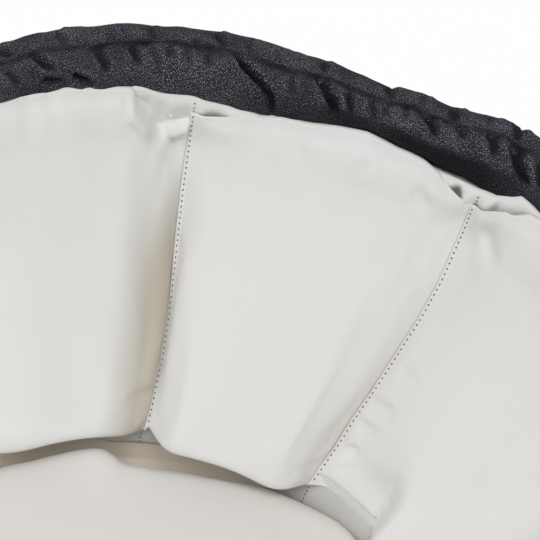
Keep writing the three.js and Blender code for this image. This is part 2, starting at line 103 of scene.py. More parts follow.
PAD_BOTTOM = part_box("lining_head_centre")[0].z
PAD_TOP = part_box("top_binding")[0].z - CLEARANCE
BINDING_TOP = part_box("top_binding")[1].z
FLOOR_LOW, FLOOR_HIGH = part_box("floor_lining")
FLOOR_TOP = FLOOR_LOW.z + FLOOR_CLOTH
SHELL_LOW, SHELL_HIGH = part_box("outer_shell_right")
ROLL_LOW, ROLL_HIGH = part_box("rim_roll")
COVER_LOW, COVER_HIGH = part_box("mattress_cover_top")
BASE_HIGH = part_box("base_panel")[1]
SEAM_FOOT_RADIUS = FLOOR_HIGH.x
SEAM_HEAD_RADIUS = SEAM_FOOT_RADIUS + WALL_LEAN
FLOOR_STRAIGHT = FLOOR_HIGH.y - FLOOR_HIGH.x
RIM_STRAIGHT = FLOOR_STRAIGHT + RIM_EXTRA
PANEL_ARC = SEAM_HEAD_RADIUS * SEAM_ANGLE


def smooth(t):
    t = np.clip(t, 0, 1)
    return t * t * (3 - 2 * t)


def grown(t, start, span):
    """0 before the start, and 1 after the span."""
    return smooth((t - start) / span)


def oval(place, radius, straight):
    """Plan points of the oval; place counts panels clockwise from the middle of the head end."""
    place, radius, straight = np.broadcast_arrays(place, radius, straight)
    p = (place + HALF_ROUND) % PANELS - HALF_ROUND
    side_end = HALF_ROUND + SIDE_PANELS
    foot_end = side_end + END_PANELS
    head = p * SEAM_ANGLE
    foot = (p - side_end - HALF_ROUND) * SEAM_ANGLE
    down = straight * (1 - 2 * (p - HALF_ROUND) / SIDE_PANELS)
    back = straight * (2 * (p - foot_end) / SIDE_PANELS - 1)
    stretches = [p <= HALF_ROUND, p <= side_end, p <= foot_end]
    x = np.select(stretches, [radius * np.sin(head), radius, -radius * np.sin(foot)], -radius)
    y = np.select(stretches, [straight + radius * np.cos(head), down, -straight - radius * np.cos(foot)], back)
    return x, y


def together(*parts):
    """Spreads the parts over one grid, and gives its points or their cloth."""
    return np.stack(np.broadcast_arrays(*parts), -1)


def near_head(place):
    """Places counted from the head end to both sides, for what is shaped one by one there."""
    return (place + PANELS / 2) % PANELS - PANELS / 2


def stations(count):
    """Places of that many points, evenly round the whole oval."""
    return np.arange(count) / count * PANELS


def from_table(spots, table):
    """Values between the rows of a table of pairs."""
    return np.interp(spots, *zip(*table))


def seam_fall(z):
    return np.clip((PAD_TOP - z) / (PAD_TOP - PAD_BOTTOM), 0, 1) ** SEAM_FALL_POWER


def seam_radius(z):
    return SEAM_HEAD_RADIUS - WALL_LEAN * seam_fall(z)


def straight_at(z):
    return RIM_STRAIGHT - RIM_EXTRA * seam_fall(z)


def on_oval(place, radius, z, straight=None):
    """Points in space on the oval whose straight sides have the seam line's length at that height."""
    x, y = oval(place, radius, straight_at(z) if straight is None else straight)
    return together(x, y, z)


def lumps(along, across, size, seed, period=None):
    """Smooth random lumps between -1 and 1 of about that size; along may close on itself."""
    random = np.random.default_rng(seed)
    cells = round(period / size) if period else 256
    step = period / cells if period else size
    table = random.uniform(-1, 1, (cells, 256))
    u, v = np.broadcast_arrays(along / step, across / size)
    i, j = np.floor(u).astype(int), np.floor(v).astype(int)
    s, t = smooth(u - i), smooth(v - j)

    def corner(di, dj):
        return table[(i + di) % cells, (j + dj) % 256]

    low = corner(0, 0) * (1 - s) + corner(1, 0) * s
    high = corner(0, 1) * (1 - s) + corner(1, 1) * s
    return low * (1 - t) + high * t


def ripples(place, size, seed):
    """Smooth random lumps along the whole oval; their size is in places."""
    return lumps(place, np.zeros_like(place), size, seed, PANELS)


def crease(x, y, line, width, depth, start_taper=0.3, end_taper=0.4, ridge=0.4):
    """Depth of a crease along a line of points, with a soft ridge on both sides, fading at its ends."""
    nearest = np.full(np.broadcast(x, y).shape, np.inf)
    run = np.zeros_like(nearest)
    for i, ((ax, ay), (bx, by)) in enumerate(zip(line, line[1:])):
        length = (bx - ax) ** 2 + (by - ay) ** 2
        share = np.clip(((x - ax) * (bx - ax) + (y - ay) * (by - ay)) / length, 0, 1)
        distance = np.hypot(x - ax - share * (bx - ax), y - ay - share * (by - ay))
        closer = distance < nearest
        nearest = np.where(closer, distance, nearest)
        run = np.where(closer, (i + share) / (len(line) - 1), run)
    fade = smooth(run / start_taper) * smooth((1 - run) / end_taper)
    side = nearest / width
    return depth * fade * (np.exp(-side ** 2) - ridge * np.exp(-((side - 2) / 0.9) ** 2))


# Meshes from grids of points.
def grid_faces(rows, columns, ring_rows=False, ring_columns=False):
    row = np.arange(rows if ring_rows else rows - 1)[:, None]
    column = np.arange(columns if ring_columns else columns - 1)[None, :]
    next_row, next_column = (row + 1) % rows, (column + 1) % columns
    corners = [row * columns + column, row * columns + next_column,
               next_row * columns + next_column, next_row * columns + column]
    return together(*corners).reshape(-1, 4)


def tube_faces(rings, sides, is_ring=False):
    """Faces of a tube; both its ends are closed unless it closes on itself."""
    faces = [tuple(face) for face in grid_faces(rings, sides, ring_rows=is_ring, ring_columns=True)]
    if not is_ring:
        last = (rings - 1) * sides
        faces += [tuple(range(sides))[::-1], tuple(range(last, last + sides))]
    return faces


def grid_normals(points, ring_rows=False, ring_columns=False):
    """Normals of a grid: the row direction crossed with the column direction."""
    def slope(axis, is_ring):
        if is_ring:
            return np.roll(points, -1, axis) - np.roll(points, 1, axis)
        return np.gradient(points, axis=axis)

    normal = np.cross(slope(0, ring_rows), slope(1, ring_columns))
    return normal / np.maximum(np.linalg.norm(normal, axis=-1, keepdims=True), 1e-12)


def new_piece(name, points, faces, material, cloth=None, body="root"):
    """A smooth mesh that rides on a body; cloth is each point's place on its flat cloth, and how much painted shade it
    takes where it lies hollow.
    """
    mesh = bpy.data.meshes.new(name)
    mesh.from_pydata(np.asarray(points, float).reshape(-1, 3).tolist(), [], [list(map(int, f)) for f in faces])
    mesh.polygons.foreach_set("use_smooth", [True] * len(mesh.polygons))
    if cloth is not None:
        way = mesh.attributes.new("cloth_way", "FLOAT_VECTOR", "POINT")
        flat = np.zeros((len(mesh.vertices), 3), np.float32)
        flat[:, :cloth.shape[-1]] = cloth.reshape(len(flat), -1)
        way.data.foreach_set("vector", flat.ravel())
    mesh.materials.append(material)
    work = bmesh.new()
    work.from_mesh(mesh)
    bmesh.ops.recalc_face_normals(work, faces=work.faces)
    work.to_mesh(mesh)
    work.free()
    piece = new_object(name, mesh)
    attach(piece, body)
    return piece


def pad_out(piece, node):
    """Hides that CAD node, whose place the stuffed piece takes; the piece itself is not used."""
    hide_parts(node)


def thick_sheet(name, front, thickness, material, cloth, ring_columns=False):
    """A closed sheet behind a grid of front points, whose rows run up and whose columns run clockwise."""
    rows, columns = front.shape[:2]
    back = front + grid_normals(front, ring_columns=ring_columns) * thickness
    faces = grid_faces(rows, columns, ring_columns=ring_columns)
    count = rows * columns
    column = np.arange(columns if ring_columns else columns - 1)
    after = (column + 1) % columns
    top = (rows - 1) * columns
    edges = [np.stack([column, count + column, count + after, after], -1),
             np.stack([top + column, top + after, count + top + after, count + top + column], -1)]
    if not ring_columns:
        row = np.arange(rows - 1) * columns
        right = row + columns - 1
        edges += [np.stack([row, row + columns, count + row + columns, count + row], -1),
                  np.stack([right, count + right, count + right + columns, right + columns], -1)]
    faces = np.concatenate([faces, faces[:, ::-1] + count, *edges])
    way = np.concatenate([cloth.reshape(count, -1), cloth.reshape(count, -1)])
    points = np.concatenate([front.reshape(-1, 3), back.reshape(-1, 3)])
    return new_piece(name, points, faces, material, way)


def stacked(name, loops, material, is_ring=False, body="root"):
    """A closed mesh over loops of points, one above another, each end closed by a fan."""
    loops = np.asarray(loops)
    rows, columns = loops.shape[:2]
    points = loops.reshape(-1, 3)
    faces = [tuple(face) for face in grid_faces(rows, columns, ring_rows=is_ring, ring_columns=True)]
    if not is_ring:
        points = np.concatenate([points, loops[0].mean(0)[None], loops[-1].mean(0)[None]])
        low, high = rows * columns, rows * columns + 1
        last = (rows - 1) * columns
        for i in range(columns):
            after = (i + 1) % columns
            faces += [(low, after, i), (high, last + i, last + after)]
    return new_piece(name, points, faces, material, points[:, :2], body)


# Stitches: short threads that dip into the cloth at both ends, along a line of points.
STITCH_SIDES = 6
STITCH_RINGS = ((-1.0, 0.35, -0.8), (-0.6, 0.95, 0.1), (0.0, 1.0, 0.35), (0.6, 0.95, 0.1), (1.0, 0.35, -0.8))


def run_along(line):
    """How far each point of a line lies from its start."""
    return np.concatenate([[0], np.cumsum(np.linalg.norm(np.diff(line, axis=0), axis=1))])


def resampled(line, run, places):
    return np.stack([np.interp(places, run, line[:, k]) for k in range(3)], -1)


def unit(vectors):
    return vectors / np.maximum(np.linalg.norm(vectors, axis=-1, keepdims=True), 1e-9)


def closed(loop):
    """A loop of points that ends where it starts."""
    return np.concatenate([loop, loop[:1]])


def rounded_off(values, width):
    """Values round a closed line, each averaged with its neighbours."""
    kernel = np.hanning(width) / np.hanning(width).sum()
    half = width // 2
    return np.convolve(np.concatenate([values[-half:], values, values[:half]]), kernel, "valid")


def stitches(name, lines, pitch, thread, material, body="root", fill=0.4):
    """Rows of stitches; each row is a pair of its line of points and the way out of the cloth there."""
    points, faces = [], []
    turns = 2 * np.pi * np.arange(STITCH_SIDES) / STITCH_SIDES
    one_stitch = tube_faces(len(STITCH_RINGS), STITCH_SIDES)
    for line, outward in lines:
        line, outward = np.asarray(line, float), np.asarray(outward, float)
        run = run_along(line)
        count = max(round(run[-1] / pitch), 1)
        centres = (np.arange(count) + 0.5) * run[-1] / count
        place = resampled(line, run, centres)
        way = unit(resampled(line, run, centres + pitch / 4) - resampled(line, run, centres - pitch / 4))
        up = resampled(outward, run, centres)
        up = unit(up - (up * way).sum(1, keepdims=True) * way)
        side = np.cross(way, up)
        half = run[-1] / count * fill / 2
        for i in range(count):
            faces += [tuple(len(points) + k for k in face) for face in one_stitch]
            for along, girth, lift in STITCH_RINGS:
                spot = place[i] + way[i] * along * half + up[i] * thread * lift
                ring = np.outer(np.sin(turns), up[i]) + np.outer(np.cos(turns), side[i])
                points.extend(spot + ring * thread * girth)
    return new_piece(name, points, faces, material, None, body)


# Shaders: an output whose maths is written as Python expressions, and the nodes of a material or the world.
class Signal:
    def __init__(self, shader, socket):
        self.shader = shader
        self.socket = socket

    def maths(self, operation, *values):
        return self.shader.add("ShaderNodeMath", {"operation": operation}, *values)

    def __add__(self, other):
        return self.maths("ADD", self, other)

    def __radd__(self, other):
        return self.maths("ADD", other, self)

    def __sub__(self, other):
        return self.maths("SUBTRACT", self, other)

    def __rsub__(self, other):
        return self.maths("SUBTRACT", other, self)

    def __mul__(self, other):
        return self.maths("MULTIPLY", self, other)

    def __rmul__(self, other):
        return self.maths("MULTIPLY", other, self)

    def sine(self):
        return self.maths("SINE", self)

    def clamped(self):
        return self.shader.add("ShaderNodeClamp", {}, self, 0, 1)

    def part(self, axis):
        return self.shader.add("ShaderNodeSeparateXYZ", {}, self, output=axis)

    def black_to_white(self, start, end):
        """0 below the start and 1 above the end."""
        return self.shader.add("ShaderNodeValToRGB", {"stops": ((start, (0, 0, 0, 1)), (end, (1, 1, 1, 1)))}, self)


class Shader:
    def __init__(self, owner):
        owner.use_nodes = True
        self.owner = owner
        self.tree = owner.node_tree
        self.surface = self.tree.nodes.get("Principled BSDF")

    def feed(self, socket, value):
        if isinstance(value, Signal):
            self.tree.links.new(value.socket, socket)
        elif value is not None:
            socket.default_value = value

    def add(self, kind, settings, *values, output=0, **named):
        """A node of that kind: its settings first, then its sockets' values or links."""
        node = self.tree.nodes.new(kind)
        for key, setting in settings.items():
            if key == "stops":
                for element, (stop, colour) in zip(node.color_ramp.elements, setting):
                    element.position = stop
                    element.color = colour
            else:
                setattr(node, key, setting)
        for socket, value in zip(node.inputs, values):
            self.feed(socket, value)
        for key, value in named.items():
            self.feed(node.inputs[key.replace("_", " ")], value)
        return Signal(self, node.outputs[output]) if node.outputs else None

    def place(self):
        return self.add("ShaderNodeTexCoord", {}, output="Object")

    def cloth_way(self):
        return self.add("ShaderNodeAttribute", {"attribute_name": "cloth_way"}, output="Vector")

    def scaled(self, vector, scale):
        return self.add("ShaderNodeVectorMath", {"operation": "MULTIPLY"}, vector, scale)

    def noise(self, vector, scale, detail=2.0, roughness=0.5):
        return self.add("ShaderNodeTexNoise", {}, vector, Scale=scale, Detail=detail, Roughness=roughness)

    def mix(self, factor, one, two):
        """A colour between two; the node's sockets 1 to 5 are for other kinds of value."""
        return self.add("ShaderNodeMix", {"data_type": "RGBA"}, factor, *[None] * 5, one, two, output=2)

    def bump(self, height, strength, distance, normal=None):
        return self.add("ShaderNodeBump", {}, Strength=strength, Distance=distance, Height=height, Normal=normal)

    def white_seen(self):
        """1 for a ray from the camera, in gloss or through glass, which sees the surround as plain white."""
        rays = [self.add("ShaderNodeLightPath", {}, output=f"Is {kind} Ray")
                for kind in ("Camera", "Glossy", "Transmission")]
        return (rays[0] + rays[1] + rays[2]).clamped()

    def finish(self, **sockets):
        for key, value in sockets.items():
            self.feed(self.surface.inputs[key.replace("_", " ")], value)
        return self.owner


def rgb(red, green, blue):
    """A linear colour from an 8-bit one."""

    def linear(value):
        value /= 255
        return value / 12.92 if value <= 0.04045 else ((value + 0.055) / 1.055) ** 2.4

    return (linear(red), linear(green), linear(blue), 1.0)


WHITE = (1, 1, 1, 1)
WARM_PAINTED_SHADE = rgb(190, 182, 164)
DENIM_PAINTED_SHADE = rgb(6, 6, 9)
RIB_SLANT = 0.8
RIB_PACE = 5200
FLECK_PACE = (2150, 1850, 0)
WORN_PACE = (90, 90, 0)
BRUSHED_PACE = (900, 90, 900)


def cream_cloth(name, colour, shade):
    """Brushed cotton: a close plain weave, faint tone patches, a soft sheen, and a warm painted shade where it lies
    hollow.
    """
    s = Shader(bpy.data.materials.new(name))
    way = s.place()
    tone = s.mix(s.noise(way, scale=9, detail=3.0), shade, colour)
    weave = s.noise(way, scale=1900, detail=1.0)
    slub = s.noise(s.scaled(way, (300, 300, 900)), scale=1.0)
    # Painted shade: the cloth's third value mixes in a warm dark tone, by the pads' seams.
    tone = s.mix(s.cloth_way().part("Z").clamped(), tone, WARM_PAINTED_SHADE)
    fuzz = s.bump(weave * 0.6 + slub * 0.4, strength=0.18, distance=0.0004)
    soft = s.bump(s.noise(way, scale=60), strength=0.12, distance=0.002, normal=fuzz)
    return s.finish(Base_Color=tone, Roughness=0.86, Sheen_Weight=0.25, Sheen_Roughness=0.5, Normal=soft)


def denim_cloth(name, dark, pale, fleck):
    """Charcoal twill: slanting ribs, broken pale flecks of weft, worn patches, and painted shade where it lies hollow.
    """
    s = Shader(bpy.data.materials.new(name))
    way = s.cloth_way()
    hollow = way.part("Z").clamped()
    rib = ((way.part("X") + way.part("Y") * RIB_SLANT) * RIB_PACE).sine() * 0.5 + 0.5
    flecks = s.noise(s.scaled(way, FLECK_PACE), scale=1.0, roughness=0.7)
    worn = s.noise(s.scaled(way, WORN_PACE), scale=1.0, detail=3.0, roughness=0.6)
    ground = s.mix(worn.black_to_white(0.3, 0.75), dark, pale)
    sparkle = (flecks + rib * 0.06).black_to_white(0.575, 0.69)
    # Painted shade: where the cloth's third value marks a hollow, fewer pale flecks and a near-black colour.
    colour = s.mix(sparkle * (1 - hollow * 0.6), ground, fleck)
    colour = s.mix(hollow * 0.8, colour, DENIM_PAINTED_SHADE)
    raised = s.bump(rib * 0.5 + flecks * 0.8, strength=0.3, distance=0.0003)
    return s.finish(Base_Color=colour, Roughness=0.92, Specular_IOR_Level=0.15, Normal=raised)


def plain_cloth(name, colour, shade, roughness=0.85, size=800.0):
    s = Shader(bpy.data.materials.new(name))
    way = s.place()
    tone = s.mix(s.noise(way, scale=30, detail=3.0), shade, colour)
    raised = s.bump(s.noise(way, size), strength=0.3, distance=0.0005)
    return s.finish(Base_Color=tone, Roughness=roughness, Normal=raised)


def metal(name, colour, shade):
    """Brushed zip metal: a little uneven in tone and polish."""
    s = Shader(bpy.data.materials.new(name))
    grain = s.noise(s.scaled(s.place(), BRUSHED_PACE), scale=1.0)
    return s.finish(Base_Color=s.mix(grain, colour, shade), Metallic=1.0, Roughness=grain * 0.2 + 0.28)


CREAM = cream_cloth("cream_cotton", rgb(233, 233, 232), rgb(226, 225, 222))
# The gusset and floor cream is paler and warmer than the lining's, a painted bounce light for the shaded gap between
# pads and mattress.
GUSSET_CREAM = cream_cloth("gusset_cotton", rgb(244, 235, 221), rgb(236, 226, 210))
MATTRESS_CREAM = cream_cloth("mattress_cotton", rgb(228, 225, 221), rgb(221, 217, 212))
DENIM = denim_cloth("charcoal_twill", rgb(30, 30, 36), rgb(47, 47, 56), rgb(170, 170, 178))
THREAD = plain_cloth("seam_thread", rgb(88, 92, 88), rgb(70, 73, 70))
BAND_CREAM = cream_cloth("band_cotton", rgb(220, 220, 216), rgb(206, 205, 199))
DARK_THREAD = plain_cloth("denim_thread", rgb(28, 28, 32), rgb(20, 20, 24))
WADDING = plain_cloth("white_wadding", rgb(236, 235, 230), rgb(222, 220, 214), 0.95, 300.0)
FOAM = plain_cloth("base_foam", rgb(226, 219, 196), rgb(214, 206, 182), 0.95, 2500.0)
ELASTIC = plain_cloth("rim_elastic", rgb(40, 40, 44), rgb(30, 30, 33), 0.7, 1500.0)
ZIP_TAPE = plain_cloth("zip_tape", rgb(32, 32, 36), rgb(24, 24, 28), 0.8, 1800.0)
ZIP_COIL = plain_cloth("zip_coil", rgb(26, 26, 29), rgb(20, 20, 22), 0.45, 600.0)
NICKEL = metal("zip_nickel", rgb(176, 178, 180), rgb(150, 152, 154))


# Wall pads: one padded panel between each pair of seams, crowned into the nest.
PAD_COLUMNS = 84
PAD_ROWS = 72
HEM_ROWS = 9
HEM_HEIGHT = 165.5 * MM
END_BELLY = 14 * MM
SIDE_BELLY = 5 * MM
FOOT_POWER = 0.36
HEAD_POWER = 0.6
BELLY_POWER = 3.0
SEAM_MARGIN = 1.5 * MM
ROW_POWER = 1.3
CROWN_CHANGE = 0.55
SLACK_WIDTH, SLACK_HEIGHT = 0.16, 0.34
PAD_LUMPS = ((1.5, 46, 1), (0.5, 19, 40))
BULGE_WIDTH = 8 * MM
FLANK_TOP, FLANK_HEIGHT, LEFT_FLANK = 92 * MM, 46 * MM, 8
SINK_WIDTHS = (0.13, 0.32)
HEM_TURN = 0.85 * np.pi
PANEL_NAMES = [
    "head_centre", "head_right", "head_corner_right", "side_right_head", "side_right_foot",
    "foot_corner_right", "foot_right", "foot_centre", "foot_left", "foot_corner_left",
    "side_left_foot", "side_left_head", "head_corner_left", "head_left",
]

# The nest's seen pads are made one by one. Left and right: how full the side is, at foot and head. Bulge: mm
# over the right seam. Stand-off: mm that the hem stands out near each seam. Foot: how slack each side is low
# down, as far in as foot_reach. Flank: how much warm painted shade each side takes by its seam, and mm in from
# the right one. Hem: share of the width, and mm that it dips.
SEEN_PADS = {
    "head_left": dict(
        left=(5, 3), right=(5, 3.2), bulge=2.2, stand_off=(2, 0), flank=(0.2, 1, 30),
        hem=((0, 8), (0.1, 2), (0.22, 0), (0.75, 0), (0.8, 1.2), (0.84, 6), (0.875, 11.5),
             (0.895, 13.2), (0.92, 12.2), (0.96, 10), (1, 8))),
    "head_centre": dict(
        left=(9, 3.4), right=(6.5, 3), bulge=0.6, stand_off=(3, 1.5), flank=(0, 0.3, 10),
        hem=((0, 8), (0.04, 6.6), (0.08, 5.4), (0.14, 3.4), (0.22, 1.2), (0.29, -1), (0.4, -0.6),
             (0.6, -1.2), (0.8, -1.4), (0.86, 0.6), (0.91, 3.8), (0.96, 6.2), (1, 7.5))),
    "head_right": dict(
        left=(3, 2.8), right=(5, 3), bulge=1, stand_off=(2.5, 2), foot=(1, 0), foot_reach=0.36,
        hem=((0, 7.5), (0.05, 6), (0.1, 5.8), (0.14, 5.2), (0.19, 0.8), (0.26, 0), (0.8, 0), (1, 8))),
}

# The seen seams wander a little as they run up: height in mm, and places to the right.
SEAM_WANDER = {
    -1: ((30, -0.085), (38, -0.06), (46, -0.035), (54, -0.015), (62, 0), (74, 0.005), (88, 0),
         (100, -0.005), (120, -0.01), (150, -0.01), (170, -0.01)),
    0: ((30, -0.075), (38, -0.06), (46, -0.05), (58, -0.035), (67, -0.03), (79, -0.015), (94, -0.005),
        (106, 0.004), (121, 0.004), (136, -0.006), (150, -0.01), (170, -0.01)),
}

# How deep the seen seams lie behind the seams' line, or before it: height and depth in mm.
SEAM_SINK = {
    -1: ((46, -6), (52, -2), (58, 3.5), (75, 8.5), (100, 7.5), (125, 3.5), (148, 0)),
    0: ((46, -5.5), (52, -3), (60, 0)),
}

# Creases of the seen pads: points of place and height in mm, width and depth in mm, and their tapers.
PAD_CREASES = {
    "head_left": [
        ([(-0.69, 165), (-0.655, 161), (-0.625, 155.5), (-0.607, 148), (-0.6, 140)], 2.8, 8.5, 0.05, 0.5),
        ([(-0.495, 157), (-0.542, 153.5), (-0.6, 151), (-0.612, 147)], 2.6, 5.4, 0.2, 0.3),
        ([(-0.56, 150), (-0.552, 138), (-0.548, 122)], 4, 2.2, 0.3, 0.6),
        ([(-0.728, 166), (-0.722, 161)], 1.2, 1.6),
        ([(-0.991, 167), (-0.97, 161)], 1.8, 1.4),
        ([(-1.04, 168), (-1.06, 158), (-1.05, 150)], 3, 1),
        ([(-0.545, 56), (-0.6, 60), (-0.68, 62)], 2, 1.4),
    ],
    "head_centre": [
        ([(0.34, 57), (0.42, 54.5), (0.492, 50.5)], 2.4, 1.8),
        ([(-0.17, 160), (-0.13, 154), (-0.06, 150)], 4, 1.2),
        ([(0.3, 160), (0.33, 153), (0.38, 149)], 3, 1.4),
        ([(0.12, 161), (0.1, 154)], 2.5, 1),
    ],
    "head_right": [
        ([(0.512, 74), (0.57, 79.5), (0.612, 82.5), (0.684, 88)], 2.4, 2.4, 0.1, 0.5),
        ([(0.51, 67), (0.56, 71), (0.625, 76.5)], 2, 2, 0.1, 0.5),
        ([(0.506, 58), (0.562, 60.5), (0.6, 63)], 1.8, 1.8, 0.1, 0.5),
        ([(0.535, 90), (0.6, 94), (0.671, 98)], 2.6, 1.5),
        ([(0.64, 164), (0.6, 152), (0.56, 140), (0.54, 125)], 5, 1.6),
        ([(0.56, 156), (0.62, 148), (0.7, 146)], 3, 1.4),
    ],
}


def seam_wander(seam, z):
    seam = int(near_head(seam))
    if seam in SEAM_WANDER:
        return from_table(z / MM, SEAM_WANDER[seam])
    return 0.008 * lumps(z, np.full_like(z, 0.5 * MM), 45 * MM, 90 + seam)


def seam_shift(seam, height):
    """Places that a seam has wandered at one height."""
    return float(seam_wander(seam, np.array([height]))[0])


def seam_sink(seam, z):
    seam = int(near_head(seam))
    return from_table(z / MM, SEAM_SINK[seam]) * MM if seam in SEAM_SINK else np.zeros_like(z)


def rise(up, head_power):
    """A swell from foot to head whose highest value is 1."""
    peak = FOOT_POWER / (FOOT_POWER + head_power)
    top = peak ** FOOT_POWER * (1 - peak) ** head_power
    return up ** FOOT_POWER * (1 - up) ** head_power / top


def pad_shares():
    """Shares of a pad's width, closer together at its seams."""
    s = np.linspace(0, 1, PAD_COLUMNS + 1)
    return s - 0.5 * np.sin(2 * np.pi * s) / (2 * np.pi)


# flank gives every other pad a faint painted shade by its seams.
PLAIN_PAD = dict(foot=(0, 0), foot_reach=0.2, flank=(0.2, 0.3, 10))
HEM_LIFT_WIDTH, HEM_LIFT_END, HEM_LIFT_TOP = 0.05, (0.12, 0.14), (0.86, 0.14)
BULGE_FOOT, BULGE_HEAD = 0.06, (0.28, 0.3)
HEM_GIRTH, HEM_DEEP = (0.7, 1.2), 6 * MM
SEEDED_PAD = ((3.5, 7.0), (2.8, 3.4), (0.5, 4.0), (0.08, 0.16), (0.5, 3.0), (0.0, 0.4))


def pad_make(panel):
    """The listed making of a seen pad, or a seeded one much like it."""
    if PANEL_NAMES[panel] in SEEN_PADS:
        return {**PLAIN_PAD, **SEEN_PADS[PANEL_NAMES[panel]]}
    random = np.random.default_rng(300 + panel)
    low, high, bulge, reach, off, foot = (random.uniform(*span, 2) for span in SEEDED_PAD)
    hem = ((0.0, 8.0), (reach[0], 3.0), (2 * reach[0], 0.0), (1 - 2 * reach[1], 0.0), (1 - reach[1], 3.0), (1.0, 8.0))
    return {**PLAIN_PAD, **dict(left=(low[0], high[0]), right=(low[1], high[1]), bulge=bulge[0],
                                stand_off=tuple(off), foot=tuple(foot), hem=hem)}


def flank_painted_shade(make, side, is_left, width, z):
    """Painted shade: how warm and dark the cloth is painted towards its seams, low down where the flanks face each
    other.
    """
    left, right, right_reach = make["flank"]
    reach = np.where(is_left, LEFT_FLANK, right_reach) * MM
    low_down = 1 - smooth((z - FLANK_TOP) / FLANK_HEIGHT)
    return np.where(is_left, left, right) * (1 - smooth(side * width / reach)) * low_down


def pad_front(panel):
    """Front points of one pad, up by rows and across by columns, and their place on the cloth."""
    make, name = pad_make(panel), PANEL_NAMES[panel]
    s = pad_shares()[None, :]
    t = np.linspace(0, 1, PAD_ROWS + 1)[:, None] ** ROW_POWER
    is_left = s < 0.5
    side = np.where(is_left, s, 1 - s)
    dips = from_table(s, make["hem"]) * MM
    top = HEM_HEIGHT + rim_sway(panel - 0.5 + s, RIM_INNER) - dips
    z = PAD_BOTTOM + (top - PAD_BOTTOM) * t
    width = seam_radius(z) * SEAM_ANGLE

    # The crown with its belly, slack at the foot.
    low, high = (np.where(is_left, make["left"][k], make["right"][k]) for k in (0, 1))
    power = low + (high - low) * smooth(t / CROWN_CHANGE)
    margin = np.where(is_left, SEAM_MARGIN / width, 0)
    inner = np.clip((side - margin) / (0.5 - margin), 0, 1)
    full = 1 - (1 - inner) ** power
    belly = END_BELLY if panel % (PANELS // 2) == 0 else SIDE_BELLY
    depth = (CROWN_DEPTH * rise(t, HEAD_POWER) + belly * rise(t, BELLY_POWER)) * full
    slack = np.where(is_left, *make["foot"]) * (1 - smooth((side - make["foot_reach"]) / SLACK_WIDTH))
    depth = depth * (1 - slack * (1 - smooth(t / SLACK_HEIGHT)))

    # Lumps, the hem's stand-off and the creases.
    left, right = seam_wander(panel - 1, z), seam_wander(panel, z)
    place = panel - 0.5 + s + left * (1 - s) + right * s
    along, climb = place * PANEL_ARC, t * (HEM_HEIGHT - PAD_BOTTOM)
    soft = sum(height * MM * lumps(along, climb, size * MM, panel + seed) for height, size, seed in PAD_LUMPS)
    depth = depth + soft * full * smooth(8 * t) * smooth(6 * (1 - t))
    lift = smooth(side / HEM_LIFT_WIDTH) * (1 - grown(side, *HEM_LIFT_END)) * grown(t, *HEM_LIFT_TOP)
    for of_side, stand_off in zip((is_left, ~is_left), make["stand_off"]):
        depth = depth + np.where(of_side, stand_off * MM * lift, 0)
    middle = near_head(panel)
    for line, crease_width, crease_depth, *tapers in PAD_CREASES.get(name, []):
        x = (near_head(place) - middle) * seam_radius(z) * SEAM_ANGLE
        spots = [((p - middle) * seam_radius(h * MM) * SEAM_ANGLE, h * MM) for p, h in line]
        depth = depth - crease(x, z, spots, crease_width * MM, crease_depth * MM, *tapers)

    # The bulge over the right seam, the sunk seams and the hem that turns over.
    near = (1 - s) * width / BULGE_WIDTH
    swell = np.where(near < 1, 4 * near * (1 - near), 0) * smooth(t / BULGE_FOOT) * (1 - grown(t, *BULGE_HEAD))
    place = place + make["bulge"] * MM * swell / width
    r = seam_radius(z) - depth
    r = r + seam_sink(panel - 1, z) * np.clip(1 - s / SINK_WIDTHS[0], 0, 1) ** 2
    r = r + seam_sink(panel, z) * np.clip(1 - (1 - s) / SINK_WIDTHS[1], 0, 1) ** 1.6
    turn = np.linspace(0, HEM_TURN, HEM_ROWS + 1)[1:, None]
    girth = (HEM_GIRTH[0] + HEM_GIRTH[1] * smooth(1 - dips / HEM_DEEP)) * MM
    r = np.concatenate([r, r[-1:] + girth * (1 - np.cos(turn))])
    z = np.concatenate([z, z[-1:] + girth * np.sin(turn)])
    place = np.concatenate([place, np.repeat(place[-1:], HEM_ROWS, 0)])
    # Painted shade by the seams, carried in the cloth's third value.
    tone = flank_painted_shade(make, side, is_left, seam_radius(z) * SEAM_ANGLE, z)
    return on_oval(place, r, z), np.stack([place * PANEL_ARC, z, tone], -1)


SHELL_FOOT_RADIUS = BASE_HIGH.x + 2 * MM
SHELL_REACH = ((0, 0), (0.16, 0.26), (0.55, 0.62), (1, 1))
WADDING_GAP = 6 * MM
WADDING_BEHIND = 3.5 * MM
WADDING_COLUMNS = np.linspace(3, PAD_COLUMNS - 3, 12).round().astype(int)
WADDING_ROWS = list(range(0, PAD_ROWS - 4, 6))


def shell_reach(z):
    """Radius of the outer shell and half length of its sides, by height."""
    up = np.clip((np.asarray(z) - SHELL_LOW.z) / (BINDING_TOP - SHELL_LOW.z), 0, 1)
    reach = sum(from_table(up + shift, SHELL_REACH) for shift in (-0.04, 0.0, 0.04)) / 3
    radius = SHELL_FOOT_RADIUS + (SHELL_HIGH.x - SHELL_FOOT_RADIUS) * reach
    return radius, FLOOR_STRAIGHT + RIM_EXTRA * up


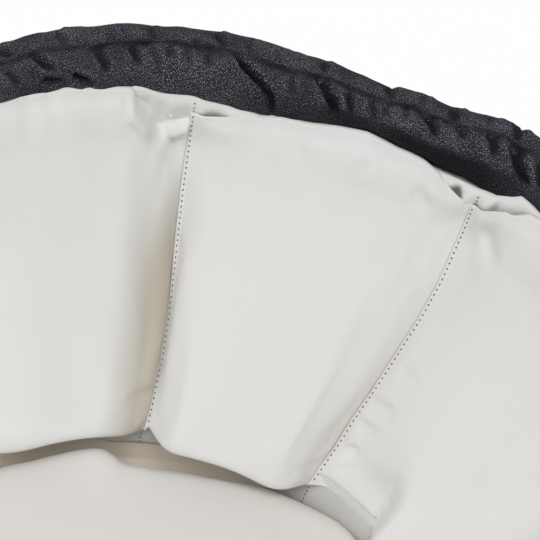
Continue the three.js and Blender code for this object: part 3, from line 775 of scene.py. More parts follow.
def wadding_block(panel, front):
    """The wadding behind one pad: a closed block between its lining, the gusset and the outer shell."""
    places = (panel - 0.5 + WADDING_COLUMNS / PAD_COLUMNS)[None, :]
    face = front[WADDING_ROWS][:, WADDING_COLUMNS]
    z = np.concatenate([np.full((1, len(WADDING_COLUMNS)), FLOOR_LOW.z), face[..., 2]])
    z = np.minimum(z, BINDING_TOP - 5 * MM)
    radius, straight = shell_reach(z)
    back = on_oval(places, radius - SHELL_CLOTH - WADDING_GAP, z, straight)
    foot = on_oval(places, SEAM_FOOT_RADIUS + 3 * MM, z[:1])
    ahead = np.concatenate([foot, face + unit(back[1:] - face) * WADDING_BEHIND])
    loops = [np.concatenate([ahead[:, k], back[::-1, k]]) for k in range(len(WADDING_COLUMNS))]
    return stacked(f"wadding_{PANEL_NAMES[panel]}", loops, WADDING)


# The pads' cloth simulation: their fronts, sewn down all round, puff and wrinkle over the wadding. The
# negative shrinking is spare cloth.
PUFF_STEP = 3
PUFF_START = 1.6 * MM
PUFF_CAP = 5.0 * MM
PUFF_FRAMES = 20
PUFF_KEPT_SHARE = 0.6
PUFF_SETTINGS = dict(quality=6, mass=0.15, bending_stiffness=0.3, vertex_group_mass="sewn", use_pressure=True,
                     uniform_pressure_force=4.0, shrink_min=-0.012)


def from_edges(rows, columns, steepness):
    """A grid that is 0 at its edges and rises smoothly to 1 inside."""
    down, across = (smooth(steepness * t) * smooth(steepness * (1 - t))
                    for t in (np.arange(count) / (count - 1) for count in (rows, columns)))
    return down[:, None, None] * across[None, :, None]


def let_go(points, faces, sewn):
    """Cloth that is held at its sewn points puffs under an even pressure; gives where each point ends."""
    mesh = bpy.data.meshes.new("pads_at_work")
    mesh.from_pydata(points.tolist(), [], faces)
    work = new_object("pads_at_work", mesh)
    work.vertex_groups.new(name="sewn").add(sewn, 1.0, "REPLACE")
    cloth = work.modifiers.new("cloth", "CLOTH")
    for key, setting in PUFF_SETTINGS.items():
        setattr(cloth.settings, key, setting)
    cloth.settings.effector_weights.gravity = 0
    cloth.collision_settings.use_collision = False
    cloth.point_cache.frame_start = 1
    cloth.point_cache.frame_end = PUFF_FRAMES
    for moment in range(1, PUFF_FRAMES + 1):
        bpy.context.scene.frame_set(moment)
    settled = work.evaluated_get(bpy.context.evaluated_depsgraph_get())
    ends = np.empty(len(points) * 3, np.float32)
    settled.data.vertices.foreach_get("co", ends)
    bpy.data.objects.remove(work)
    bpy.data.meshes.remove(mesh)
    bpy.context.scene.frame_set(1)
    return ends.reshape(-1, 3).astype(float)


def filled_in(moves, rows, columns):
    """Moves of a wide grid's points spread over the fine grid, rounded off and still at its edges."""
    wide_rows, wide_columns = np.arange(0, rows, PUFF_STEP), np.arange(0, columns, PUFF_STEP)
    fine = np.empty((len(wide_rows), columns, 3))
    for i, k in np.ndindex(len(wide_rows), 3):
        fine[i, :, k] = np.interp(np.arange(columns), wide_columns, moves[i, :, k])
    whole = np.empty((rows, columns, 3))
    for j, k in np.ndindex(columns, 3):
        whole[:, j, k] = np.interp(np.arange(rows), wide_rows, fine[:, j, k])
    kernel = np.hanning(2 * PUFF_STEP + 3)[1:-1]
    reach = len(kernel) // 2
    for axis in (0, 1):
        padded = np.pad(whole, [(reach, reach) if axis == k else (0, 0) for k in range(3)])
        span = whole.shape[axis]
        whole = sum(share * np.take(padded, range(i, i + span), axis) for i, share in enumerate(kernel / kernel.sum()))
    return whole * from_edges(rows, columns, 24)


def puffed(fronts):
    """Every pad's front after the simulation; each starts a little flatter than it will be."""
    rows, columns = fronts[0].shape[:2]
    starts = [front + grid_normals(front) * PUFF_START * from_edges(rows, columns, 2.5) for front in fronts]
    wide = [start[::PUFF_STEP, ::PUFF_STEP] for start in starts]
    shape = wide[0].shape
    count = shape[0] * shape[1]
    edge = np.ones(shape[:2], bool)
    edge[1:-1, 1:-1] = False
    sewn = [int(k + count * i) for i in range(len(fronts)) for k in np.flatnonzero(edge)]
    faces = [face for i in range(len(fronts)) for face in (grid_faces(*shape[:2])[:, ::-1] + count * i).tolist()]
    points = np.concatenate(wide).reshape(-1, 3)
    moves = let_go(points, faces, sewn) - points
    far = np.maximum(np.linalg.norm(moves, axis=1), 1e-9)[:, None] / PUFF_CAP
    moves = moves * np.tanh(far) / far * PUFF_KEPT_SHARE
    return [start + filled_in(move, rows, columns) for start, move in zip(starts, moves.reshape(-1, *shape))]


def row_on(points, shares, share):
    """A line up a grid at a share of its width, and the way out of the cloth towards the nest."""
    k = np.clip(np.searchsorted(shares, share) - 1, 0, len(shares) - 2)
    blend = ((share - shares[k]) / (shares[k + 1] - shares[k]))[:, None]
    rows = np.arange(len(points))
    return tuple(grid[rows, k] * (1 - blend) + grid[rows, k + 1] * blend for grid in (points, -grid_normals(points)))


def wall_pads():
    rows, shares = [], pad_shares()
    fronts, cloths = zip(*(pad_front(panel) for panel in range(PANELS)))
    for front, swelled in zip(fronts, puffed([front[:PAD_ROWS + 1] for front in fronts])):
        front[:PAD_ROWS + 1] = swelled
    for panel, name in enumerate(PANEL_NAMES):
        front = fronts[panel]
        pad = thick_sheet(f"pad_{name}", front, CLOTH, CREAM, cloths[panel])
        pad_out(pad, f"lining_{name}")
        pad_out(wadding_block(panel, front), f"fill_{name}")
        seam = front[2:PAD_ROWS + 1]
        rows.append(row_on(seam, shares, 0.8 * SEAM_MARGIN / (seam_radius(seam[:, 0, 2]) * SEAM_ANGLE)))
    stitches("wall_seam_stitches", rows, 2.6 * MM, 0.3 * MM, THREAD)


# Rim: a wadded roll, and outside it the lip whose elastic gathers both. Seen reach runs in mm from
# the roll's inner edge, 0, to the lip's outer edge, 27. All folds are lines of place and reach.
ROLL_WIDTH = 21 * MM
ROLL_CENTRE = (SEAM_HEAD_RADIUS + 1.5 * MM + ROLL_WIDTH / 2, (ROLL_LOW.z + ROLL_HIGH.z) / 2)
VIEW_OUT, VIEW_UP, VIEW_START = 0.615, 0.788, 9.45 * MM
RIM_SEEN = (-1.3, 0.9)
RIM_GIRTH = 60 * MM
RIM_LUMPS = ((26, 0.9, 0), (11, 0.65, 1), (5.5, 0.4, 2))
RIM_GATHERS = ((9, 0.8, 0.5), (5, 0.55, -0.3))
FOLD_REACH = 0.25
ROLL_SECTION = [
    tuple(half * np.sign(turn) * abs(turn) ** 0.87 for half, turn in ((10.5, math.cos(a)), (8.75, math.sin(a))))
    for a in np.arange(36) * math.pi / 18
]
LIP_SECTION = [
    (4, 4.2), (5.6, 6.9), (7.6, 8.3), (10.2, 9.2), (13, 9.5), (15.8, 9), (18.3, 7.6), (20.2, 5.3),
    (20.9, 2.6), (20.3, -0.2), (18.2, -2.4), (14.8, -3.2), (11, -2.6), (7.6, -0.4), (5, 1.8),
]
LIP_SEAM = (6.4, 7.5)
ELASTIC_PLACE = (14.8, 3.4)
ELASTIC_RADIUS = 3.4

# How far the seen rim strays from the plain oval: place, and mm up and outwards, at the roll's inner
# edge and at the lip; and how far the roll's foot is turned under.
RIM_INNER = (
    (-1.7, 0), (-1.2, -2), (-1.09, -1.7), (-1, -1.3), (-0.9, 0.8), (-0.8, -0.6), (-0.7, 1.6), (-0.62, 0.4),
    (-0.5, -0.8), (-0.42, -1.8), (-0.34, -3.8), (-0.24, -5.6), (-0.12, -4.6), (-0.02, -2.2), (0.09, -0.1),
    (0.2, -1.9), (0.36, -2), (0.48, -1), (0.55, 0.6), (0.62, 6), (0.7, 4), (1.2, 0),
)
RIM_OUTER = (
    (-1.7, -1), (-1.25, -7), (-1.1, -6), (-1.02, -2.8), (-0.93, -1.2), (-0.84, -1.4), (-0.75, 1.2), (-0.58, 2.3),
    (-0.42, 2), (-0.3, 0), (-0.22, -1.9), (-0.1, -0.4), (0.09, -2.7), (0.18, -0.4), (0.28, -0.6), (0.37, 1.6),
    (0.46, 4.9), (0.56, 4), (1.2, 0),
)

# Reach of the crease between roll and lip, and how much painted shade the roll's underside takes along it.
RIM_CREASE = 18.5
RIM_SHADE = ((-0.4, 0), (-0.26, 0.5), (-0.12, 0.6), (0, 0.9), (0.1, 0.7), (0.2, 1), (0.48, 1), (0.58, 0.7), (0.66, 0.2),
             (0.8, 0))
RIM_UNDER = ((-0.36, 0), (-0.22, 0.7), (-0.05, 0.9), (0.1, 0.6), (0.2, 1), (0.36, 1), (0.5, 0.3), (0.6, 0))

# The seen folds of roll and lip: points of place and reach, then width and depth in mm.
RIM_FOLDS = [
    ([(-1.1, 17), (-1.085, 10), (-1.08, 4)], 1.6, 1.6),
    ([(-1.04, 21.5), (-1.01, 17.5), (-0.98, 13), (-0.935, 8.5)], 1.5, 2.6),
    ([(-1, 7), (-0.96, 5), (-0.93, 4.5)], 1.4, 2),
    ([(-0.905, 6.5), (-0.88, 4.6), (-0.858, 3.6), (-0.828, 1.5)], 1.7, 3.4),
    ([(-0.82, 18), (-0.8, 12), (-0.795, 6)], 1.5, 1.5),
    ([(-0.715, 18), (-0.7, 13), (-0.69, 8)], 1.5, 2),
    ([(-0.65, 17), (-0.63, 10), (-0.628, 4)], 1.3, 1.2),
    ([(-0.6, 17.5), (-0.59, 12.5)], 1.4, 1.4),
    ([(-0.545, 17.5), (-0.53, 9)], 1.5, 1.4),
    ([(-0.48, 16.5), (-0.465, 10)], 1.4, 1.4),
    ([(-0.4, 19.5), (-0.358, 14.8), (-0.307, 12), (-0.257, 8.6), (-0.243, 4.8), (-0.24, -2)], 1.2, 4.6),
    ([(-0.205, 17), (-0.19, 11)], 1.5, 1.4),
    ([(-0.132, 19.5), (-0.095, 15.5), (-0.058, 11), (-0.04, 7.5)], 1.5, 3),
    ([(-0.075, 14.5), (-0.04, 9), (-0.01, 4.5)], 2, 2.4),
    ([(-0.022, 17), (0.002, 11.5), (0.018, 6)], 1.5, 2.2),
    ([(0.06, 18), (0.085, 12), (0.1, 7)], 1.7, 1.6),
    ([(0.105, 17), (0.125, 11)], 1.5, 1.6),
    ([(0.16, 18.5), (0.19, 12)], 1.6, 1.5),
    ([(0.232, 19), (0.265, 16), (0.305, 11)], 1.5, 2.6),
    ([(0.33, 19.5), (0.355, 17), (0.385, 13.5)], 1.5, 2.2),
    ([(0.425, 19), (0.455, 16.5), (0.495, 11)], 1.5, 2.8),
    ([(0.5, 20.5), (0.544, 15.5), (0.6, 10), (0.64, 5)], 1.7, 4.2),
    ([(0.6, 19.5), (0.64, 13), (0.68, 8)], 1.6, 2.2),
]
LIP_FOLDS = [
    ([(-1.12, 26), (-1.06, 20)], 1.6, 1.8),
    ([(-0.93, 25.5), (-0.9, 19.5)], 1.6, 1.4),
    ([(-0.78, 24), (-0.76, 19.5)], 1.5, 1),
    ([(-0.66, 25), (-0.63, 19.5)], 1.5, 1),
    ([(-0.53, 20.5), (-0.49, 18.5), (-0.455, 16.5)], 1.4, 2),
    ([(-0.46, 25.5), (-0.42, 19.5)], 1.6, 1.6),
    ([(-0.36, 25), (-0.34, 20)], 1.5, 1),
    ([(-0.27, 25), (-0.25, 20)], 1.5, 1.2),
    ([(-0.13, 25.5), (-0.1, 20)], 1.6, 1.2),
    ([(0.08, 26), (0.12, 19.5)], 1.7, 1.8),
    ([(0.19, 25.5), (0.21, 20)], 1.6, 1.2),
    ([(0.29, 25.5), (0.32, 19.5)], 1.6, 1.6),
    ([(0.4, 25.5), (0.42, 20)], 1.6, 1.2),
    ([(0.48, 26.5), (0.51, 19.5)], 1.8, 2.2),
]


def rim_places():
    """Stations round the rim, closer together at the head end, which is seen from nearby."""
    return np.concatenate([np.arange(*RIM_SEEN, 0.0036), np.arange(RIM_SEEN[1], PANELS + RIM_SEEN[0], 0.016)])


def rim_sway(place, table):
    near = near_head(place)
    edge = np.minimum(smooth((near - table[0][0]) / 0.3), smooth((table[-1][0] - near) / 0.3))
    seeded = 1.1 * np.sin(2 * np.pi * 5 * place / PANELS) + 1.4 * ripples(place, 0.3, 26)
    return (from_table(near, table) * edge + seeded * (1 - edge)) * MM


def rim_folds(seen, seed):
    """The seen folds, then seeded ones all round the rest of the rim."""
    random = np.random.default_rng(seed)
    folds = list(seen)
    place = 0.78
    while place < PANELS - 1.15:
        start = random.uniform(12, 22)
        lean, reach = random.uniform(0.01, 0.06), random.uniform(8, 22)
        line = [(place, start), (place + lean * 0.6, start - reach / 2), (place + lean, start - reach)]
        folds.append((line, random.uniform(0.9, 2.0), random.uniform(1.2, 4.0)))
        place += random.uniform(0.05, 0.15)
    return folds


def section_points(section, count):
    """A closed section drawn smoothly through its corners, and its outward normals."""
    loop = closed(np.asarray(section))
    run = run_along(loop)
    spots = np.arange(count * 4) / (count * 4) * run[-1]
    fine = np.stack([rounded_off(np.interp(spots, run, loop[:, k]), 11) for k in (0, 1)], -1)[::4]
    ahead = np.roll(fine, -1, 0) - np.roll(fine, 1, 0)
    normal = unit(np.stack([ahead[:, 1], -ahead[:, 0]], -1))
    return fine, normal * np.sign(((fine - fine.mean(0)) * normal).sum())


def rim_band(section, count, folds, seed, lump_share=1.0, is_roll=False):
    """Points of a gathered tube round the oval, rows along it and columns round its section."""
    place = rim_places()[:, None]
    spots, normals = section_points(section, count)
    u, v = spots[:, 0][None, :] * MM, spots[:, 1][None, :] * MM
    along, around = place * PANEL_ARC, PANELS * PANEL_ARC
    girth = np.arange(count)[None, :] / count * RIM_GIRTH
    reach = u * VIEW_OUT + v * VIEW_UP + VIEW_START

    # How far each point is drawn in: folds, lumps, and gathers at the crease.
    inward = np.zeros((len(place), len(spots)))
    for line, width, depth in folds:
        centre = line[0][0]
        offset = near_head(place - centre)
        rows = np.abs(offset[:, 0]) < FOLD_REACH
        points = [((p - centre) * PANEL_ARC, r * MM) for p, r in line]
        inward[rows] += crease(offset[rows] * PANEL_ARC, reach, points, width * MM, depth * MM, 0.12, 0.4, 0.35)
    for size, height, step in RIM_LUMPS:
        inward = inward - lump_share * height * MM * lumps(along, girth, size * MM, seed + step, around)
    drawn = np.exp(-((reach / MM - RIM_CREASE) / 6.5) ** 2)
    for size, height, lean in RIM_GATHERS:
        gathers = lumps(along + lean * girth, girth * 0.22, size * MM, seed + 3 + size, around)
        inward = inward + lump_share * height * MM * gathers * drawn

    # Painted shade, by how hollow it lies: in its folds, in the crease, and where the roll turns under.
    join = (0.75 + 0.5 * ripples(place, 0.045, seed + 17)) * np.exp(-((reach / MM - RIM_CREASE) / 1.5) ** 2)
    hollow = np.maximum(smooth((inward + 1.6 * MM) / (4.6 * MM)), join)
    sway = rim_sway(place, RIM_OUTER)
    if is_roll:
        inner = rim_sway(place, RIM_INNER)
        sway = inner + (sway - inner) * smooth(reach / (19 * MM))
        under = from_table(near_head(place), RIM_UNDER) * smooth(-u / (5 * MM)) * np.maximum(3 * MM - v, 0)
        u, v = u + 0.8 * under, v - 0.3 * under
        # Painted shade on the roll's underside where it turns under.
        turned = from_table(near_head(place), RIM_SHADE) * smooth((11.5 * MM - reach) / (4 * MM))
        hollow = np.maximum(hollow, turned)
    r = ROLL_CENTRE[0] + u - inward * normals[:, 0][None, :] + sway * 0.6
    z = ROLL_CENTRE[1] + v - inward * normals[:, 1][None, :] + sway * 0.8
    return on_oval(place, r, z), together(along, girth, hollow)


def rim_piece(name, points, cloth, rows, material, slot):
    """A closed stretch of the rim over some of its rows, or all of it as a ring."""
    faces = tube_faces(len(rows), points.shape[1], len(rows) == len(points))
    return new_piece(name, points[rows], faces, material, cloth[rows])


def rim():
    near = near_head(rim_places())
    every = np.arange(len(near))
    roll = rim_piece("rim_roll_cloth", *rim_band(ROLL_SECTION, 64, rim_folds(RIM_FOLDS, 11), 21, is_roll=True),
                     every, DENIM, "denim")
    pad_out(roll, "rim_roll")
    points, cloth = rim_band(LIP_SECTION, 44, rim_folds(LIP_FOLDS, 12), 31)
    seam = int(np.argmin(np.hypot(*(section_points(LIP_SECTION, 44)[0] - np.array(LIP_SEAM)).T)))
    ways = grid_normals(points, ring_rows=True, ring_columns=True)[:, seam]
    ways = ways * np.sign(ways[:, 2:3])
    stitches("rim_stitches", [(closed(points[:, seam]), closed(ways))], 3.2 * MM, 0.32 * MM, DARK_THREAD, fill=0.6)
    is_head = np.abs(near) < PANELS / 4
    head_rows = every[is_head][np.argsort(near[is_head])]
    foot_rows = np.concatenate([head_rows[-1:], every[~is_head], head_rows[:1]])
    for end_name, rows in (("head", head_rows), ("foot", foot_rows)):
        pad_out(rim_piece(f"rim_lip_{end_name}", points, cloth, rows, DENIM, "denim"), f"rim_tunnel_{end_name}")
    turns = 2 * np.pi * np.arange(10) / 10
    circle = [(ELASTIC_PLACE[0] + ELASTIC_RADIUS * math.cos(a), ELASTIC_PLACE[1] + ELASTIC_RADIUS * math.sin(a))
              for a in turns]
    cord = rim_piece("rim_elastic_cord", *rim_band(circle, 12, [], 31, 0.1), every, ELASTIC, "elastic")
    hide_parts("rim_elastic")


# Facing: the pale strip that closes the wall between the pads and the rim, puckered where it shows. Its
# front and back run by height and radius in mm; its seen folds are place, width in places, and depth in mm.
FACING_LOW, FACING_HIGH = 147, 166
FACING_SEAM_HEIGHT, FACING_SEAM_ASIDE = 160 * MM, 0.009
FACING_FRONT = ((147, 207), (151, 207), (155, 206.6), (158, 206), (161, 205.3), (164, 205.4), (166, 206.6))
FACING_BACK = ((166.5, 208), (164.2, 210.5), (162.4, 216), (162, 219), (160.5, 222.5), (147, 217))
FACING_FOLDS = (
    (-0.66, 0.02, 1.2), (-0.575, 0.03, -1.3), (-0.52, 0.014, 0.9), (-0.47, 0.02, -1), (-0.38, 0.03, -1.2),
    (0.36, 0.02, -2), (0.425, 0.018, 4.5), (0.465, 0.016, -1.8), (0.5, 0.01, 1), (0.535, 0.022, -1.2),
    (0.565, 0.01, 1.6), (0.61, 0.03, -1.5),
)


def facing():
    place = rim_places()
    near = near_head(place)
    pucker = 0.7 * ripples(place, 0.08, 3) + 0.5 * ripples(place, 0.03, 4)
    for spot, width, depth in FACING_FOLDS:
        pucker = pucker - depth * np.exp(-((near - spot) / width) ** 2)
    lift = rim_sway(place, RIM_INNER)
    outline = []
    for height in np.linspace(FACING_LOW, FACING_HIGH, 14):
        loose = math.sin(math.pi * (height - FACING_LOW) / 21) ** 2
        raised = smooth((height - 150) / 10)
        radius = (from_table(height, FACING_FRONT) - pucker * loose) * MM + lift * 0.4 * raised
        outline.append(on_oval(place, radius, height * MM + lift * raised))
    for height, radius in FACING_BACK:
        moves = lift * (radius < 212)
        outline.append(on_oval(place, radius * MM + moves * 0.4, height * MM + moves))
    outline = np.asarray(outline)
    pad_out(stacked("rim_facing", outline, CREAM, is_ring=True), "top_binding")
    rows = []
    for seam in range(PANELS):
        spot = near_head(place - seam - 0.5 - seam_shift(seam, FACING_SEAM_HEIGHT) - FACING_SEAM_ASIDE)
        line = outline[4:13, int(np.argmin(np.abs(spot)))]
        rows.append((line, np.broadcast_to(unit(np.array([0.0, 0.0, 0.2]) - line[:1] * [1, 0.6, 0]), line.shape)))
    stitches("facing_stitches", rows, 2.4 * MM, 0.3 * MM, THREAD)


# Floor and gusset: a pale sheet under the mattress, whose sides rise to the foot of the pads, with a
# band at its head that shows at each seam, where the pads' corners part.
FLOOR_STATIONS = 560
BAND_LOW = ((-1, 39.5), (-0.7, 33), (-0.35, 33), (0.1, 40), (0.24, 26), (1, 26), (1.3, 39.5))
BAND_HIGH = 50
BAND_ROWS = ((1.0, 0.0), (0.8, 0.3), (0.55, 0.7), (0.3, 0.9), (0.1, 0.6), (0.0, 0.2))


def oval_area(radius, straight):
    return math.pi * radius ** 2 + 4 * radius * straight


def oval_girth(radius, straight):
    return 2 * math.pi * radius + 4 * straight


def oval_loop(radius, z, count, straight=FLOOR_STRAIGHT):
    return on_oval(stations(count), radius, z, straight)


def seam_rows(outline, heights):
    """Stitch rows up an outline of loops at every seam, with the way out towards the nest."""
    count = outline.shape[1]
    rows = []
    for seam in range(PANELS):
        line = []
        for loop, height in zip(outline, heights):
            line.append(loop[round((seam + 0.5 + seam_shift(seam, height)) / PANELS * count) % count])
        rows.append((line, unit(np.asarray(line) * [-1, -0.5, 0] + [0, 0, 0.1])))
    return rows


def floor_and_gusset():
    place = stations(FLOOR_STATIONS)
    ripple = 0.3 * MM * ripples(place, 0.11, 9)
    foot = SEAM_FOOT_RADIUS - GUSSET_LEAN
    loops = [oval_loop(foot + FLOOR_CLOTH, FLOOR_LOW.z, FLOOR_STATIONS),
             oval_loop(SEAM_FOOT_RADIUS + FLOOR_CLOTH, FLOOR_HIGH.z, FLOOR_STATIONS)]
    for share in (1.0, 0.85, 0.65, 0.45, 0.25, 0.1, 0.0):
        radius = foot + GUSSET_LEAN * share - ripple * math.sin(math.pi * share)
        loops.append(oval_loop(radius, FLOOR_TOP + (FLOOR_HIGH.z - FLOOR_TOP) * share, FLOOR_STATIONS))
    loops.append(oval_loop(foot * 0.6, FLOOR_TOP, FLOOR_STATIONS))
    piece = stacked("floor_and_gusset", loops, GUSSET_CREAM)
    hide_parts("floor_lining")

    wave = ripples(place, 0.16, 12) + 0.5 * ripples(place, 0.06, 13)
    low = from_table(near_head(place), BAND_LOW)
    band = []
    for share, loose in BAND_ROWS:
        up = low + (BAND_HIGH - low) * share
        radius = 127.6 + 5.5 * (up - 31) / 19 - (0.5 * wave + 0.7) * loose
        band.append(oval_loop(radius * MM, up * MM, FLOOR_STATIONS))
    band = np.asarray(band)
    cloth = np.stack([np.broadcast_to(place * PANEL_ARC, band.shape[:2]), band[..., 2]], -1)
    piece = thick_sheet("gusset_band", band[::-1], 0.8 * MM, BAND_CREAM, cloth[::-1], ring_columns=True)
    length = oval_girth((SEAM_FOOT_RADIUS + foot) / 2, FLOOR_STRAIGHT)
    float((BAND_HIGH - low).mean()) * MM * length
    heights = [(40 + 10 * share) * MM for share, _ in BAND_ROWS]
    stitches("gusset_stitches", seam_rows(band, heights), 2.3 * MM, 0.3 * MM, THREAD)


# Mattress: foam in a cream cover that is sewn round its lower edge. Its head end lies a little
# askew, with a corner that puffs up by the left seam. Its outline: place, share of the radius, mm of puff.
MATTRESS_STATIONS = 480
MATTRESS_RADIUS = COVER_HIGH.x
MATTRESS_FOOT_SHARE = (-COVER_LOW.y - FLOOR_STRAIGHT) / MATTRESS_RADIUS
MATTRESS_OUTLINE = (
    (-3, 1, 0), (-1.6, 1.01, 0), (-1.36, 1.03, 0), (-1.2, 1.012, 0), (-1.02, 1.01, 1), (-0.9, 1.005, 3),
    (-0.8, 1, 4), (-0.74, 0.99, 3.5), (-0.695, 0.97, 2), (-0.665, 0.94, 1), (-0.42, 0.928, 0), (-0.15, 0.935, 0),
    (0.07, 0.96, 0), (0.28, 1, 0), (0.4, 1.012, 0), (0.52, 1.025, 0.5), (0.73, 1.045, 3), (0.9, 1.04, 3.5),
    (1.1, 1.025, 2), (1.4, 1.01, 0), (3, 1, 0),
)
MATTRESS_SIDE = ((0.995, 0.12), (1.0, 0.45), (0.997, 0.72), (0.985, 0.90), (0.965, 0.98))
MATTRESS_TOP = (0.945, 0.92, 0.89, 0.86, 0.82, 0.77, 0.72, 0.66, 0.60, 0.54, 0.48, 0.41, 0.34, 0.26, 0.18, 0.10, 0.04)
UNDERSIDE_SHARE = 0.988
MATTRESS_RIDGE = [(0.012, 0.19), (0.03, 0.2), (0.05, 0.21), (0.075, 0.214), (0.1, 0.205)]


def round_mattress(column):
    """One column of the outline's table at every station, drawn smoothly."""
    values = from_table(near_head(stations(MATTRESS_STATIONS)), [(row[0], row[column]) for row in MATTRESS_OUTLINE])
    return rounded_off(values, 7)


def mattress_loop(share, z, inset=0.0):
    outline = 1 + (round_mattress(1) - 1) * share ** 2
    x, y = oval(stations(MATTRESS_STATIONS), MATTRESS_RADIUS * share * outline - inset, FLOOR_STRAIGHT)
    y = np.where(y < -FLOOR_STRAIGHT, -FLOOR_STRAIGHT + (y + FLOOR_STRAIGHT) * MATTRESS_FOOT_SHARE, y)
    return together(x, y, z)


def soft_top(loop, height, share):
    """Lifts a loop of the top into soft lumps, a ridge, and the seen corner that puffs up."""
    x, y = loop[:, 0], loop[:, 1]
    z = height + 0.9 * MM * lumps(x, y, 55 * MM, 61) * (1 - share ** 6)
    z = z - crease(x, y, MATTRESS_RIDGE, 7 * MM, -1.6 * MM, 0.4, 0.4, 0.2)
    loop[:, 2] = z + round_mattress(2) * MM * math.exp(-((share - 0.97) / 0.11) ** 2)
    return loop


def mattress():
    bottom = COVER_LOW.z
    edge_top = COVER_HIGH.z - 5 * MM
    loops = [mattress_loop(0.985, bottom)]
    for share, climb in MATTRESS_SIDE:
        loops.append(mattress_loop(share, bottom + (edge_top + round_mattress(2) * MM - bottom) * climb))
    for share in MATTRESS_TOP:
        loops.append(soft_top(mattress_loop(share, edge_top), edge_top + 4.6 * MM * (1 - share ** 3), share))
    cover = stacked("mattress_cover", loops, MATTRESS_CREAM, body="mattress")
    pad_out(cover, "mattress_cover_top")
    levels = ((0.97, bottom + 0.5 * MM), (0.985, bottom + 8 * MM), (0.96, edge_top - 2 * MM),
              (0.90, edge_top - 1 * MM), (0.4, edge_top + 1.5 * MM))
    filling = stacked("mattress_filling", [mattress_loop(share, z, 2 * MM) for share, z in levels],
                      FOAM, body="mattress")
    pad_out(filling, "mattress_foam")
    low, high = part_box("mattress_cover_base")
    rounds = ((0.975, low.z), (UNDERSIDE_SHARE, low.z + 0.2 * MM), (UNDERSIDE_SHARE, high.z))
    underside = stacked("mattress_underside", [mattress_loop(share, z) for share, z in rounds],
                        GUSSET_CREAM, body="mattress")
    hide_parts("mattress_cover_base")
    reach = MATTRESS_RADIUS * UNDERSIDE_SHARE
    saved = (1 - MATTRESS_FOOT_SHARE) * reach
    oval_area(reach, FLOOR_STRAIGHT) - saved * reach * math.pi / 2
    edge = closed(mattress_loop(1.0, bottom + (edge_top - bottom) * 0.16))
    stitches("mattress_edge_stitches", [(edge, unit(edge * [1, 0.4, 0]))], 3.0 * MM, 0.3 * MM, THREAD, body="mattress")


# Outer shell: four denim panels over the wadding, gathered under the rim, sewn to the base panel.
SHELL_ROWS = 60
SHELL_STEP = 0.013
SHELL_BOTTOM = SHELL_LOW.z - 0.3 * MM
SHELL_HEIGHT = 167 * MM - SHELL_LOW.z
SHELL_SEAMS = (("head", -2.5, 2.5), ("right", 2.5, 4.5), ("foot", 4.5, 9.5), ("left", 9.5, 11.5))


def shell_front(place, up):
    """Points of the shell's outside, by place along and share of its height, and how much painted shade it takes where
    it lies hollow.
    """
    place, up = np.broadcast_arrays(place, up)
    z = SHELL_BOTTOM + SHELL_HEIGHT * up
    radius, straight = shell_reach(z)

    def wrinkles(slant, stretch, size, seed):
        return lumps(place * PANEL_ARC + slant * z, z * stretch, size * MM, seed, PANELS * PANEL_ARC)

    tucked = smooth((z - BINDING_TOP) / (5 * MM))
    turned = 1 - smooth((z - SHELL_LOW.z) / (4 * MM))
    body = smooth(up / 0.2) * smooth((0.96 - up) / 0.3)
    swell = 2.2 * wrinkles(0, 1, 62, 71) + 0.9 * wrinkles(0, 1, 26, 72)
    slanting = wrinkles(0.7, 0.4, 13, 76) + wrinkles(-0.5, 0.4, 17, 77)
    gathers = wrinkles(0, 0.12, 8, 73) + 0.6 * wrinkles(0, 0.2, 4.6, 74)
    relief = 0.55 * slanting * body + 1.3 * gathers * smooth((up - 0.42) / 0.5) ** 1.6
    relief = relief + 0.9 * wrinkles(0, 0.3, 12, 75) * (1 - smooth(up / 0.3)) * smooth(up / 0.04)
    seam = sum(np.exp(-((near_head(place - edge)) * PANEL_ARC / (5 * MM)) ** 2) for _, edge, _ in SHELL_SEAMS)
    radius = radius + (swell * body + relief - 1.5 * seam * body - 2.5 * tucked - 1.5 * turned) * MM
    return on_oval(place, radius, z, straight), smooth((1.1 - relief) / 2.6)


def outer_shell():
    up = np.linspace(0, 1, SHELL_ROWS + 1)[:, None]
    up = up - 0.12 * np.sin(2 * np.pi * up) / np.pi
    rows = []
    for name, start, end in SHELL_SEAMS:
        count = round((end - start) / SHELL_STEP)
        place = (start + (end - start) * np.linspace(0, 1, count + 1))[None, ::-1]
        front, hollow = shell_front(place, up)
        # The third value is painted shade in the shell's wrinkle hollows.
        cloth = together(place * PANEL_ARC, up * 0.17, 0.6 * hollow)
        panel = thick_sheet(f"shell_{name}", front, SHELL_CLOTH, DENIM, cloth)
        pad_out(panel, f"outer_shell_{name}")
        ways = -grid_normals(front)
        for column in (3, count - 3, 6, count - 6):
            rows.append((front[2:-3, column], ways[2:-3, column]))
        for height in (0.055, 0.93):
            row = int(np.argmin(np.abs(up[:, 0] - height)))
            rows.append((front[row], ways[row]))
    stitches("shell_stitches", rows, 3.2 * MM, 0.3 * MM, DARK_THREAD, fill=0.6)


# Base: denim panel with the zip's slot, and the foam board inside with room for the zip.
BASE_STATIONS = 420
TAPE_LOW, TAPE_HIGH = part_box("zip_tape_right")
SLOT_REACH = TAPE_HIGH.x - 7 * MM
SLOT_LENGTH = TAPE_HIGH.y - 7 * MM


def downwards(count):
    return np.tile([0, 0, -1.0], (count, 1))


